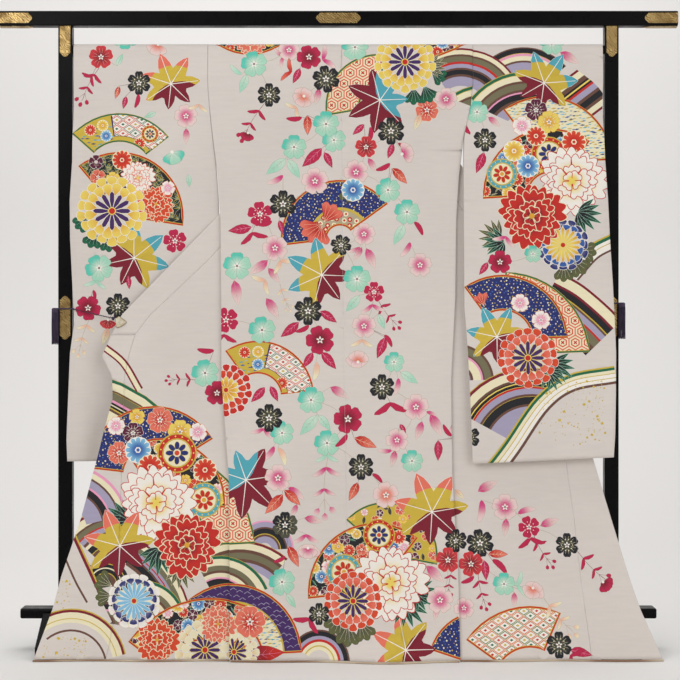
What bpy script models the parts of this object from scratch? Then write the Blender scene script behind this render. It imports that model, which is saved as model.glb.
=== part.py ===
# Furisode kimono hung through its sleeves on a black lacquered kimono stand.
# Metres, +Z up, origin on the floor. The back of the kimono faces -Y and +X is to the right there.
# The garment is open: both fronts hang from the shoulders on the far side and swing outwards.

import math

import bmesh
import bpy
import numpy as np
from mathutils import Vector

# Moves the whole part so that its depth is centred on the origin
DEPTH_SHIFT = 0.0293

# Cloth wall and the gap kept between neighbouring pieces
WALL = 0.0020
GAP = 0.0003

# Round rod that carries the sleeves, and the fold of cloth over it
ROD_RADIUS = 0.0112
ROD_CLEAR = 0.0008
FOLD_RADIUS = ROD_RADIUS + ROD_CLEAR + WALL
TOP_Z = 1.552
ROD_Z = TOP_Z - FOLD_RADIUS
SHOULDER_DROP = 0.004
SHOULDER_Z = ROD_Z - SHOULDER_DROP

# How the cloth hangs: it clears the rod, then sweeps forward to the hem
RELIEF = 0.0060
RELIEF_DROP = 0.08
SWEEP = 0.165
WAVE = 0.0042
WAVE_LENGTH = 0.29
WAVE_TURN = 2.2
CURL = 0.022
CURL_CENTRE = 0.12
CURL_WIDTH = 0.15
CURL_HEIGHT = 0.06

# Levels on the garment
SIDE_SEAM_Z = 1.19
CUFF_Z = 1.31
COLLAR_END_Z = 0.805
HEM_ROLL = 0.0026
HEM_EASE = 0.0006
HEM_Z = 2.0 * (HEM_ROLL + GAP) + HEM_EASE
HEM_INSET = 0.003

# Levels that every panel has, and the longest step between two
KNOWN_LOWER = (0.0250, 0.0600, 0.1250, 0.2100, 0.4500, 0.6450, 0.7000, 0.7515)
KNOWN_UPPER = (0.8560, 1.0000, 1.1150, 1.2100, 1.3100, 1.3900, 1.4500)
LEVEL_STEP = 0.09

# Fold of a front panel behind the back panel: radius of its printed face
TURN_RADIUS = 0.002
LEG_GAP = 0.0011
NECK = (-0.1045, 0.1140)
COLLAR_HEIGHT = 0.054
COLLAR_RISE = 0.006

# Sleeve bags, with the levels below which each change starts and the drop over which it grows
BAG_DEPTH = {"left": 0.015, "right": 0.021}
BAG_EASE = 0.30
LEFT_SLEEVE_RELIEF = 0.0060
LEFT_BAND_SHIFT = 0.0108
LEFT_BAND_X = -0.600
LEFT_BAND_WIDTH = 0.060
BAND_TOP = 1.36
LEFT_BAND_EASE = 0.10
RIGHT_LEAN_EASE = 0.12
RIGHT_SLEEVE_LEAN = 0.0132
SLEEVE_WAVE = 0.0012
SLEEVE_WAVE_RATE = 30.0
SLEEVE_WAVE_TOP = 1.05
SLEEVE_WAVE_EASE = 0.30
SLEEVE_BOTTOM_ROUND = 0.003

# Stand
POST_X = 0.700
POST_HALF = (0.018, 0.015)
BAR_HALF = (0.870, 0.017)
BAR_Z = (1.597, 1.635)
LOWER_HALF = (0.813, 0.028)
LOWER_Z = (0.0803, 0.1060)
FOOT_X = 0.701
FOOT_WIDTH = 0.102
FOOT_REACH = 0.152
FOOT_TOE = 0.030
FOOT_TOP = 0.0955
FOOT_SHOULDER = 0.045
FOOT_PAD = 0.050
FOOT_ARCH = 0.012
# Rounding of the edges
BAR_EDGE = 0.0025
LOWER_EDGE = 0.004
POST_EDGE = 0.002
FOOT_EDGE = 0.002

# Metal plates: thickness, then length and width of each kind, and where it lies
PLATE = 0.0012
TOP_PLATE = (0.079, 0.027)
TOP_PLATE_Z = 1.5565
POST_PLATE = (0.112, 0.027)
POST_PLATE_Z = 0.8490
END_PLATE = (0.086, 0.026)
UNDER_PLATE = (0.086, 0.024)
END_PLATE_INSET = 0.0432
MIDDLE_PLATE = (0.115, 0.026)
BAR_PLATE_Z = 1.6165

# Cusped end of a plate: distance from its tip in plate widths, and share of the half width there
CUSP = ((0.40, 1.00), (0.24, 0.62), (0.096, 0.42), (0.0, 0.0))

# Cords, tassels and clip
CORD_RADIUS = 0.0020
LEFT_CORD_Z = 0.872
RIGHT_CORD_Z = 0.886
TASSEL_SIZE = (0.018, 0.008, 0.012)
TASSEL_PINCH = 0.90
TASSEL_STRAND = 0.082
TASSEL_X = 0.7240
TASSEL_GRID = (8, 3)
STRAND_INSET = 0.00035
STRAND_UNEVEN = 0.045
STRAND_LEAN = 0.00018
LOOP_CORNER = 0.003
CORD_BEND = (-0.676, -0.0365)
CORD_DIP = 0.001
CLIP_SPOT = (-0.5560, 0.8385)
CLIP_HALF = 0.0015
CLIP_CLEAR = 0.0009
CLIP_FAN = (0.012, 0.036, -84.0, -36.0)
CLIP_KNOT = (-0.0165, 0.0085)
KNOT_RADIUS = 0.0045

# Back body: side and centre seams by level
BODY_COLUMNS = ("level", "left", "centre", "right")
BODY = (
    (1.5380, -0.3345, 0.0080, 0.3445),
    (1.4500, -0.3345, 0.0080, 0.3440),
    (1.3900, -0.3300, 0.0085, 0.3374),
    (1.3100, -0.3212, 0.0090, 0.3205),
    (1.2100, -0.3080, 0.0095, 0.3080),
    (1.1000, -0.3010, 0.0100, 0.3005),
    (0.9000, -0.2980, 0.0120, 0.2970),
    (0.6900, -0.2960, 0.0150, 0.2850),
    (0.4500, -0.2750, 0.0190, 0.2860),
    (0.2100, -0.2700, 0.0230, 0.2980),
    (0.0000, -0.2680, 0.0240, 0.3000),
)

# Fronts: how far the fold reaches behind the back, then seam and outer edge on each side.
# The seam is the collar seam above the collar's end and the overlap seam below it.
WING_COLUMNS = ("level", "reach", "left_seam", "left_edge", "right_seam", "right_edge")
WING = (
    (1.5380, 0.2250, -0.1150, -0.1680, 0.1250, 0.1780),
    (1.4500, 0.2200, -0.1300, -0.1850, 0.1360, 0.1910),
    (1.3300, 0.2000, -0.1680, -0.2250, 0.1950, 0.2550),
    (1.2100, 0.1750, -0.2030, -0.2680, 0.2600, 0.3350),
    (1.1150, 0.1500, -0.2225, -0.3026, 0.3250, 0.4050),
    (1.0000, 0.1050, -0.3280, -0.4130, 0.3850, 0.4680),
    (0.9000, 0.0700, -0.4315, -0.5090, 0.4450, 0.5220),
    (0.8560, 0.0580, -0.4790, -0.5520, 0.4800, 0.5530),
    (0.8050, 0.0450, -0.5170, -0.5770, 0.5170, 0.5770),
    (0.7515, 0.0400, -0.5320, -0.6000, 0.5350, 0.5980),
    (0.7000, 0.0350, -0.5420, -0.5740, 0.5480, 0.6030),
    (0.6450, 0.0310, -0.5430, -0.5710, 0.5560, 0.6080),
    (0.5750, 0.0270, -0.5440, -0.5890, 0.5640, 0.6220),
    (0.4920, 0.0240, -0.5450, -0.6080, 0.5720, 0.6415),
    (0.3430, 0.0200, -0.5470, -0.6450, 0.5900, 0.6830),
    (0.2080, 0.0160, -0.5490, -0.6880, 0.6020, 0.7210),
    (0.1250, 0.0140, -0.5530, -0.7080, 0.6110, 0.7480),
    (0.0460, 0.0125, -0.5640, -0.7360, 0.6200, 0.7820),
    (0.0000, 0.0120, -0.5750, -0.7515, 0.6250, 0.8010),
)

# Sleeves: inner and outer edge by level
SLEEVE_COLUMNS = ("level", "left_inner", "left_outer", "right_inner", "right_outer")
SLEEVE = (
    (1.5380, -0.3350, -0.6790, 0.3450, 0.6775),
    (1.4500, -0.3350, -0.6775, 0.3446, 0.6770),
    (1.3900, -0.3306, -0.6770, 0.3380, 0.6750),
    (1.3100, -0.3218, -0.6795, 0.3211, 0.6785),
    (1.2490, -0.3140, -0.6797, 0.3190, 0.6797),
    (1.1500, -0.3070, -0.6860, 0.3190, 0.6860),
    (1.0500, -0.3060, -0.6850, 0.3190, 0.6900),
    (0.9300, -0.3060, -0.6790, 0.3190, 0.6960),
    (0.8720, -0.3060, -0.6762, 0.3190, 0.6980),
    (0.8430, -0.3060, -0.6730, 0.3215, 0.6990),
    (0.7600, -0.3070, -0.6850, 0.3270, 0.7010),
    (0.6400, -0.3080, -0.6900, 0.3320, 0.6980),
    (0.5400, -0.3100, -0.6940, 0.3350, 0.6940),
    (0.4825, -0.3120, -0.6920, 0.3360, 0.6890),
)
RIGHT_SLEEVE_TILT = 0.016
TILT_TOP = 0.75
TILT_EASE = 0.20


def smooth(value):
    """Ease from 0 to 1 with level ends: three squares less two cubes."""
    part = np.clip(value, 0.0, 1.0)
    return part * part * (3.0 - 2.0 * part)


def read(table, columns, name, level):
    """Value of a named column at a level, in straight lines between its rows."""
    rows = np.array(table)[::-1]
    return np.interp(level, rows[:, 0], rows[:, columns.index(name)])


def body(name, level):
    return read(BODY, BODY_COLUMNS, name, level)


def wing(name, level):
    return read(WING, WING_COLUMNS, name, level)


def sleeve(name, level):
    return read(SLEEVE, SLEEVE_COLUMNS, name, level)


def hang(x, z):
    """Depth of the printed face of the back: clear of the rod, then swept forward with soft waves."""
    drop = np.clip(ROD_Z - z, 0.0, None)
    share = drop / ROD_Z
    depth = -FOLD_RADIUS - RELIEF * smooth(drop / RELIEF_DROP) - SWEEP * share ** 2
    wave = WAVE * share ** 2 * np.sin(2.0 * math.pi * x / WAVE_LENGTH + WAVE_TURN * share)
    lift = smooth(1.0 - z / CURL_HEIGHT)
    curl = CURL * lift * np.exp(-((x - CURL_CENTRE) / CURL_WIDTH) ** 2)
    return depth + wave - curl


def inner_leg(x, z):
    """Depth of a front's printed face behind the back: from the far side of the rod to the side seam."""
    joined = smooth((ROD_Z - z) / (ROD_Z - SIDE_SEAM_Z))
    return (1.0 - joined) * FOLD_RADIUS + joined * (hang(x, z) + 2.0 * WALL + LEG_GAP)


def outer_leg(x, z):
    """Depth of a front's printed face past its fold."""
    return inner_leg(x, z) + 2.0 * TURN_RADIUS


# Materials

def material(name, colour, roughness, metallic=0.0):
    made = bpy.data.materials.new(name)
    made.use_nodes = True
    shader = made.node_tree.nodes["Principled BSDF"]
    shader.inputs["Base Color"].default_value = (*colour, 1.0)
    shader.inputs["Roughness"].default_value = roughness
    shader.inputs["Metallic"].default_value = metallic
    made.diffuse_color = (*colour, 1.0)
    return made


def place(name, mesh, finish):
    """Link a mesh under its node's name with its material."""
    mesh.materials.clear()
    mesh.materials.append(finish)
    made = bpy.data.objects.new(name, mesh)
    PARTS.objects.link(made)
    return made


# Cloth panels

def grid_faces(rows, columns):
    """Quads of a grid whose points run row by row."""
    base = (np.arange(rows - 1)[:, None] * columns + np.arange(columns - 1)[None, :]).ravel()
    return np.stack((base, base + 1, base + columns + 1, base + columns), axis=1).tolist()


def cloth(name, points, faces, finish):
    """A wall of cloth behind its printed face."""
    mesh = bpy.data.meshes.new(name)
    mesh.from_pydata(points.reshape(-1, 3).tolist(), [], faces)
    mesh.update()
    made = place(name, mesh, finish)
    wall = made.modifiers.new("wall", "SOLIDIFY")
    wall.thickness = WALL
    wall.offset = -1.0
    wall.use_even_offset = True
    mesh.shade_smooth()
    return made


def sheet(name, x, y, z, finish):
    """A panel from grids of its three coordinates, rows going up, columns to the right."""
    points = np.stack(np.broadcast_arrays(x, y, z), axis=-1)
    return cloth(name, points, grid_faces(points.shape[0], points.shape[1]), finish)


def levels(bottom, top, known, spacing):
    """Levels from the bottom up through the known ones between, with long steps split evenly."""
    marks = [bottom] + sorted(level for level in known if bottom < level < top) + [top]
    made = [bottom]
    for low, high in zip(marks, marks[1:]):
        parts = max(1, round((high - low) / spacing))
        made += [low + (high - low) * step / parts for step in range(1, parts + 1)]
    return np.array(made)


def over_rod(count):
    """Depths and levels of the fold over the rod, from its near side to its far side."""
    turn = np.linspace(0.0, math.pi, count)[1:]
    return -FOLD_RADIUS * np.cos(turn), ROD_Z + FOLD_RADIUS * np.sin(turn)


def back_panel(name, left, right, finish):
    """Half of the back, from the hem up and over the rod to the shoulder line."""
    z = np.append(LOWER_LEVELS, UPPER_LEVELS[1:])
    z[-1] = ROD_Z
    share = np.linspace(0.0, 1.0, 9)[None, :]
    edge_left = body(left[0], z) + left[1]
    edge_right = body(right[0], z) + right[1]
    x = edge_left[:, None] + (edge_right - edge_left)[:, None] * share
    y = hang(x, z[:, None])
    fold_y, fold_z = over_rod(7)
    fold_y = np.append(fold_y, FOLD_RADIUS)
    fold_z = np.append(fold_z, SHOULDER_Z + GAP)
    fold_x = np.repeat(x[-1:, :], len(fold_y), axis=0)
    x = np.vstack((x, fold_x))
    y = np.vstack((y, np.repeat(fold_y[:, None], y.shape[1], axis=1)))
    z = np.concatenate((z, fold_z))[:, None]
    return sheet(name, x, y, z, finish)


def front_panel(name, side, finish):
    """A front: inwards behind the back from the side seam, round its fold, then outwards to its seam."""
    inward = 1.0 if side == "left" else -1.0
    z = np.append(LOWER_LEVELS, UPPER_LEVELS[1:])[:, None]
    seam = body(side, z) + inward * GAP
    fold = seam + inward * wing("reach", z)
    end = wing(side + "_seam", z) + inward * 0.5 * GAP
    first = seam + (fold - seam) * np.linspace(0.0, 1.0, 4)[None, :]
    angle = np.linspace(0.0, math.pi, 6)[None, 1:-1]
    turn_x = fold + inward * TURN_RADIUS * np.sin(angle)
    turn_y = inner_leg(fold, z) + TURN_RADIUS * (1.0 - np.cos(angle))
    last = fold + (end - fold) * np.linspace(0.0, 1.0, 10)[None, :]
    x = np.hstack((first, turn_x, last))
    y = np.hstack((inner_leg(first, z), turn_y, outer_leg(last, z)))
    if side == "left":
        x = x[:, ::-1]
        y = y[:, ::-1]
    return sheet(name, x, y, z, finish)


def edge_panel(name, side, z, columns, finish):
    """Collar or overlap: the strip of a front between its seam and its outer edge."""
    outward = -1.0 if side == "left" else 1.0
    z = z[:, None]
    seam = wing(side + "_seam", z) + outward * 0.5 * GAP
    edge = wing(side + "_edge", z)
    x = seam + (edge - seam) * np.linspace(0.0, 1.0, columns + 1)[None, :]
    if side == "left":
        x = x[:, ::-1]
    return sheet(name, x, outer_leg(x, z), z, finish)


def neck_collar(finish):
    """The collar behind the neck, turned down on the far side of the rod."""
    x = np.linspace(NECK[1], NECK[0], 7)[None, :]
    z = np.linspace(ROD_Z - COLLAR_HEIGHT, ROD_Z + COLLAR_RISE, 3)[:, None]
    y = np.full((3, 1), FOLD_RADIUS + GAP + WALL)
    return sheet("collar_neck", x, y, z, finish)


# Sleeves

def left_sleeve_face(x, z):
    """Near face of the left sleeve: hangs straight, its outer band passes in front of the post."""
    drop = np.clip(ROD_Z - z, 0.0, None)
    band = smooth((LEFT_BAND_X - x) / LEFT_BAND_WIDTH) * smooth((BAND_TOP - z) / LEFT_BAND_EASE)
    soft = SLEEVE_WAVE * smooth((SLEEVE_WAVE_TOP - z) / SLEEVE_WAVE_EASE) * np.sin(SLEEVE_WAVE_RATE * x)
    return -FOLD_RADIUS - LEFT_SLEEVE_RELIEF * smooth(drop / RELIEF_DROP) - LEFT_BAND_SHIFT * band + soft


def right_sleeve_face(x, z):
    """Near face of the right sleeve: leans on the right front, just ahead of the back."""
    return hang(x, z) - RIGHT_SLEEVE_LEAN * smooth((BAND_TOP - z) / RIGHT_LEAN_EASE)


def sleeve_bag(name, side, finish):
    """One width folded over the rod, closed below and, under the cuff, along its outer edge."""
    columns = 9
    face = left_sleeve_face if side == "left" else right_sleeve_face
    rows = np.array(SLEEVE)[::-1, 0]
    share = np.linspace(0.0, 1.0, columns)[None, :]
    if side == "left":
        share = share[:, ::-1]
    inner = sleeve(side + "_inner", rows)[:, None]
    outer = sleeve(side + "_outer", rows)[:, None]
    x = inner + (outer - inner) * share
    tilt = RIGHT_SLEEVE_TILT * share if side == "right" else 0.0 * share
    z = rows[:, None] + tilt * smooth((TILT_TOP - rows[:, None]) / TILT_EASE)
    near = face(x, z)
    open_share = smooth((ROD_Z - z) / BAG_EASE)
    far = near + 2.0 * FOLD_RADIUS * (1.0 - open_share) + BAG_DEPTH[side] * open_share
    fold_y, fold_z = over_rod(7)
    fold_y = fold_y[:-1]
    fold_z = fold_z[:-1]
    fold_x = np.repeat(x[-1:, :], len(fold_y), axis=0)
    floor_z = z[:1, :] - SLEEVE_BOTTOM_ROUND
    loop_x = np.vstack((x, fold_x, x[::-1], x[:1]))
    fold_y = np.repeat(fold_y[:, None], columns, axis=1)
    fold_z = np.repeat(fold_z[:, None], columns, axis=1)
    loop_y = np.vstack((near, fold_y, far[::-1], 0.5 * (near[:1] + far[:1])))
    loop_z = np.vstack((z, fold_z, z[::-1], floor_z))
    points = np.stack((loop_x, loop_y, loop_z), axis=-1)
    count = points.shape[0]
    faces = grid_faces(count, columns)
    closing = (count - 1) * columns
    faces += [[closing + c, closing + c + 1, c + 1, c] for c in range(columns - 1)]
    column = 0 if side == "left" else columns - 1
    closed = [row for row in range(len(rows)) if rows[row] <= CUFF_Z + 1e-6]
    back_row = count - 2
    for row in closed[:-1]:
        near_low = row * columns + column
        near_high = near_low + columns
        far_low = (back_row - row) * columns + column
        far_high = far_low - columns
        ring = [near_low, near_high, far_high, far_low]
        faces.append(ring if side == "left" else ring[::-1])
    bottom = [column, (count - 2) * columns + column, closing + column]
    faces.append(bottom if side == "left" else bottom[::-1])
    return cloth(name, points, faces, finish)


# Stand and fittings

def box(name, low, high, finish, bevel=0.0):
    """A box between two corners, with rounded edges if asked."""
    mesh = bpy.data.meshes.new(name)
    shape = bmesh.new()
    bmesh.ops.create_cube(shape, size=1.0)
    low = Vector(low)
    high = Vector(high)
    bmesh.ops.scale(shape, vec=high - low, verts=shape.verts)
    bmesh.ops.translate(shape, vec=(low + high) / 2.0, verts=shape.verts)
    shape.to_mesh(mesh)
    shape.free()
    made = place(name, mesh, finish)
    if bevel:
        edge = made.modifiers.new("edge", "BEVEL")
        edge.width = bevel
        edge.segments = 2
        edge.limit_method = "ANGLE"
    return made


def slab(name, outline, half, centre, turn, finish, bevel=0.0):
    """A flat outline in its own plane, given half its thickness, turned and moved to its place."""
    curve = bpy.data.curves.new(name, "CURVE")
    curve.dimensions = "2D"
    curve.fill_mode = "BOTH"
    curve.extrude = half
    line = curve.splines.new("POLY")
    line.points.add(len(outline) - 1)
    for point, spot in zip(line.points, outline):
        point.co = (spot[0], spot[1], 0.0, 1.0)
    line.use_cyclic_u = True
    guide = bpy.data.objects.new(name, curve)
    PARTS.objects.link(guide)
    guide.location = centre
    guide.rotation_euler = turn
    bpy.context.view_layer.update()
    evaluated = guide.evaluated_get(bpy.context.evaluated_depsgraph_get())
    mesh = bpy.data.meshes.new_from_object(evaluated)
    mesh.transform(guide.matrix_world)
    bpy.data.objects.remove(guide)
    shape = bmesh.new()
    shape.from_mesh(mesh)
    bmesh.ops.remove_doubles(shape, verts=shape.verts, dist=0.00001)
    bmesh.ops.recalc_face_normals(shape, faces=shape.faces)
    shape.to_mesh(mesh)
    shape.free()
    made = place(name, mesh, finish)
    if bevel:
        edge = made.modifiers.new("edge", "BEVEL")
        edge.width = bevel
        edge.segments = 1
        edge.limit_method = "ANGLE"
    return made


def tube(name, route, radius, sides, finish):
    """A round tube along a route of points, with closed ends."""
    curve = bpy.data.curves.new(name, "CURVE")
    curve.dimensions = "3D"
    curve.bevel_depth = radius
    curve.bevel_resolution = sides
    curve.use_fill_caps = True
    line = curve.splines.new("POLY")
    line.points.add(len(route) - 1)
    for point, spot in zip(line.points, route):
        point.co = (*spot, 1.0)
    curve.materials.append(finish)
    made = bpy.data.objects.new(name, curve)
    PARTS.objects.link(made)
    return made


def rounded(route, count):
    """Points read from a smooth curve through the route's own points."""
    spots = [Vector(spot) for spot in route]
    spots = [2.0 * spots[0] - spots[1]] + spots + [2.0 * spots[-1] - spots[-2]]
    made = []
    for index in range(1, len(spots) - 2):
        before, start, end, after = spots[index - 1:index + 3]
        for step in range(count):
            t = step / count
            bend = (2.0 * before - 5.0 * start + 4.0 * end - after) * t * t
            twist = (3.0 * start - before - 3.0 * end + after) * t ** 3
            made.append(0.5 * (2.0 * start + (end - before) * t + bend + twist))
    made.append(spots[-2])
    return made


def foot(name, centre, finish):
    """A sloping foot with a notch for the lower bar, an arch and two flat pads."""
    notch = LOWER_HALF[1] + GAP
    half = [
        (FOOT_REACH, 0.0),
        (FOOT_REACH, FOOT_TOE),
        (FOOT_SHOULDER, FOOT_TOP),
        (notch, FOOT_TOP),
        (notch, LOWER_Z[0] - GAP),
    ]
    inner = [(FOOT_REACH - FOOT_PAD, 0.0), (FOOT_REACH - FOOT_PAD - FOOT_ARCH, FOOT_ARCH)]
    outline = half + [(-y, z) for y, z in reversed(half)]
    outline += [(-y, z) for y, z in inner] + [(y, z) for y, z in reversed(inner)]
    turn = (math.pi / 2.0, 0.0, math.pi / 2.0)
    return slab(name, outline, FOOT_WIDTH / 2.0, (centre, 0.0, 0.0), turn, finish, FOOT_EDGE)


def ogee(length, width, points):
    """Outline of a plate with a cusped point at each end named in points."""
    half = width / 2.0
    side = []
    for end in (1.0, -1.0):
        if end in points:
            run = [(length / 2.0 - inset * width, half * share) for inset, share in CUSP]
        else:
            run = [(length / 2.0, half), (length / 2.0, 0.0)]
        up = [(end * along, end * across) for along, across in run]
        down = [(end * along, -end * across) for along, across in reversed(run[:-1])]
        side += up + down
    return side


# Cords and tassels

def tassel(name, centre, top, finish):
    """A head whose lower face carries a grid of strands, all one body."""
    width, depth, height = TASSEL_SIZE
    across, deep = TASSEL_GRID
    mesh = bpy.data.meshes.new(name)
    shape = bmesh.new()
    layers = []
    for level in (top, top - height):
        pinch = TASSEL_PINCH if level == top else 1.0
        ring = []
        for row in range(deep + 1):
            for column in range(across + 1):
                x = centre[0] + pinch * width * (column / across - 0.5)
                y = centre[1] + pinch * depth * (row / deep - 0.5)
                ring.append(shape.verts.new((x, y, level)))
        layers.append(ring)
    step = across + 1
    border = [column for column in range(across + 1)]
    border += [row * step + across for row in range(1, deep + 1)]
    border += [deep * step + column for column in reversed(range(across))]
    border += [row * step for row in reversed(range(1, deep))]
    upper, lower = layers
    for first, second in zip(border, border[1:] + border[:1]):
        shape.faces.new((upper[first], lower[first], lower[second], upper[second]))
    cells = []
    for row in range(deep):
        for column in range(across):
            corner = row * step + column
            ring = (corner, corner + step, corner + step + 1, corner + 1)
            cells.append(shape.faces.new([lower[index] for index in ring]))
            shape.faces.new([upper[index] for index in reversed(ring)])
    shape.normal_update()
    bmesh.ops.inset_individual(shape, faces=cells, thickness=STRAND_INSET, depth=0.0)
    for index, cell in enumerate(cells):
        strand = TASSEL_STRAND * (1.0 - STRAND_UNEVEN * ((index * 5) % 4) / 3.0)
        lean = STRAND_LEAN * math.sin(2.1 * index)
        for share in (0.5, 1.0):
            made = bmesh.ops.extrude_discrete_faces(shape, faces=[cell])
            cell = made["faces"][0]
            bmesh.ops.translate(shape, verts=cell.verts, vec=(lean * share, 0.0, -strand / 2.0))
    bmesh.ops.recalc_face_normals(shape, faces=shape.faces)
    shape.to_mesh(mesh)
    shape.free()
    return place(name, mesh, finish)


def post_loop(side, level):
    """Points round a post, just clear of its plates: across its front, then outer side, back and inner side."""
    reach_x = POST_HALF[0] + GAP + CORD_RADIUS
    reach_y = POST_HALF[1] + 2.0 * GAP + PLATE + CORD_RADIUS
    corner = LOOP_CORNER
    cut = 0.3 * corner
    loop = [
        (-reach_x + corner, -reach_y),
        (reach_x - corner, -reach_y),
        (reach_x - cut, -reach_y + cut),
        (reach_x, -reach_y + corner),
        (reach_x, reach_y - corner),
        (reach_x - cut, reach_y - cut),
        (reach_x - corner, reach_y),
        (-reach_x + corner, reach_y),
        (-reach_x + cut, reach_y - cut),
        (-reach_x, reach_y - corner),
        (-reach_x, 0.0),
    ]
    return [(side * (POST_X + x), y, level) for x, y in loop]


def collar_clip(finish, cord_finish):
    """A fan-shaped clip on the left collar's tip, its knot, and the cord from the knot to the post."""
    x, z = CLIP_SPOT
    step = 0.01
    slope = (outer_leg(x, z + step) - outer_leg(x, z - step)) / (2.0 * step)
    depth = outer_leg(x, z) - CLIP_HALF - CLIP_CLEAR
    angles = np.linspace(math.radians(CLIP_FAN[2]), math.radians(CLIP_FAN[3]), 7)
    pivot = (-0.5 * (CLIP_FAN[0] + CLIP_FAN[1]) * math.cos(angles.mean()),
             -0.5 * (CLIP_FAN[0] + CLIP_FAN[1]) * math.sin(angles.mean()))
    wide = [(pivot[0] + CLIP_FAN[1] * math.cos(a), pivot[1] + CLIP_FAN[1] * math.sin(a)) for a in angles]
    narrow = [(pivot[0] + CLIP_FAN[0] * math.cos(a), pivot[1] + CLIP_FAN[0] * math.sin(a)) for a in angles]
    turn = (math.pi / 2.0 - math.atan(slope), 0.0, 0.0)
    slab("collar_clip", wide + narrow[::-1], CLIP_HALF, (x, depth, z), turn, finish)
    knot = Vector((x + CLIP_KNOT[0], depth, z + CLIP_KNOT[1]))
    mesh = bpy.data.meshes.new("cord_knot")
    shape = bmesh.new()
    bmesh.ops.create_uvsphere(shape, u_segments=12, v_segments=8, radius=KNOT_RADIUS)
    bmesh.ops.translate(shape, vec=knot, verts=shape.verts)
    shape.to_mesh(mesh)
    shape.free()
    mesh.shade_smooth()
    place("cord_knot", mesh, cord_finish)
    around = post_loop(-1.0, LEFT_CORD_Z)
    away = Vector((*CORD_BEND, LEFT_CORD_Z - CORD_DIP))
    line = (away - knot).normalized()
    start = knot + line * (KNOT_RADIUS + GAP)
    middle = start.lerp(away, 0.5)
    lead = rounded([start, middle, away, Vector(around[0])], 4)
    tube("cord_left", [tuple(spot) for spot in lead] + around[1:], CORD_RADIUS, 2, cord_finish)


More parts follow.
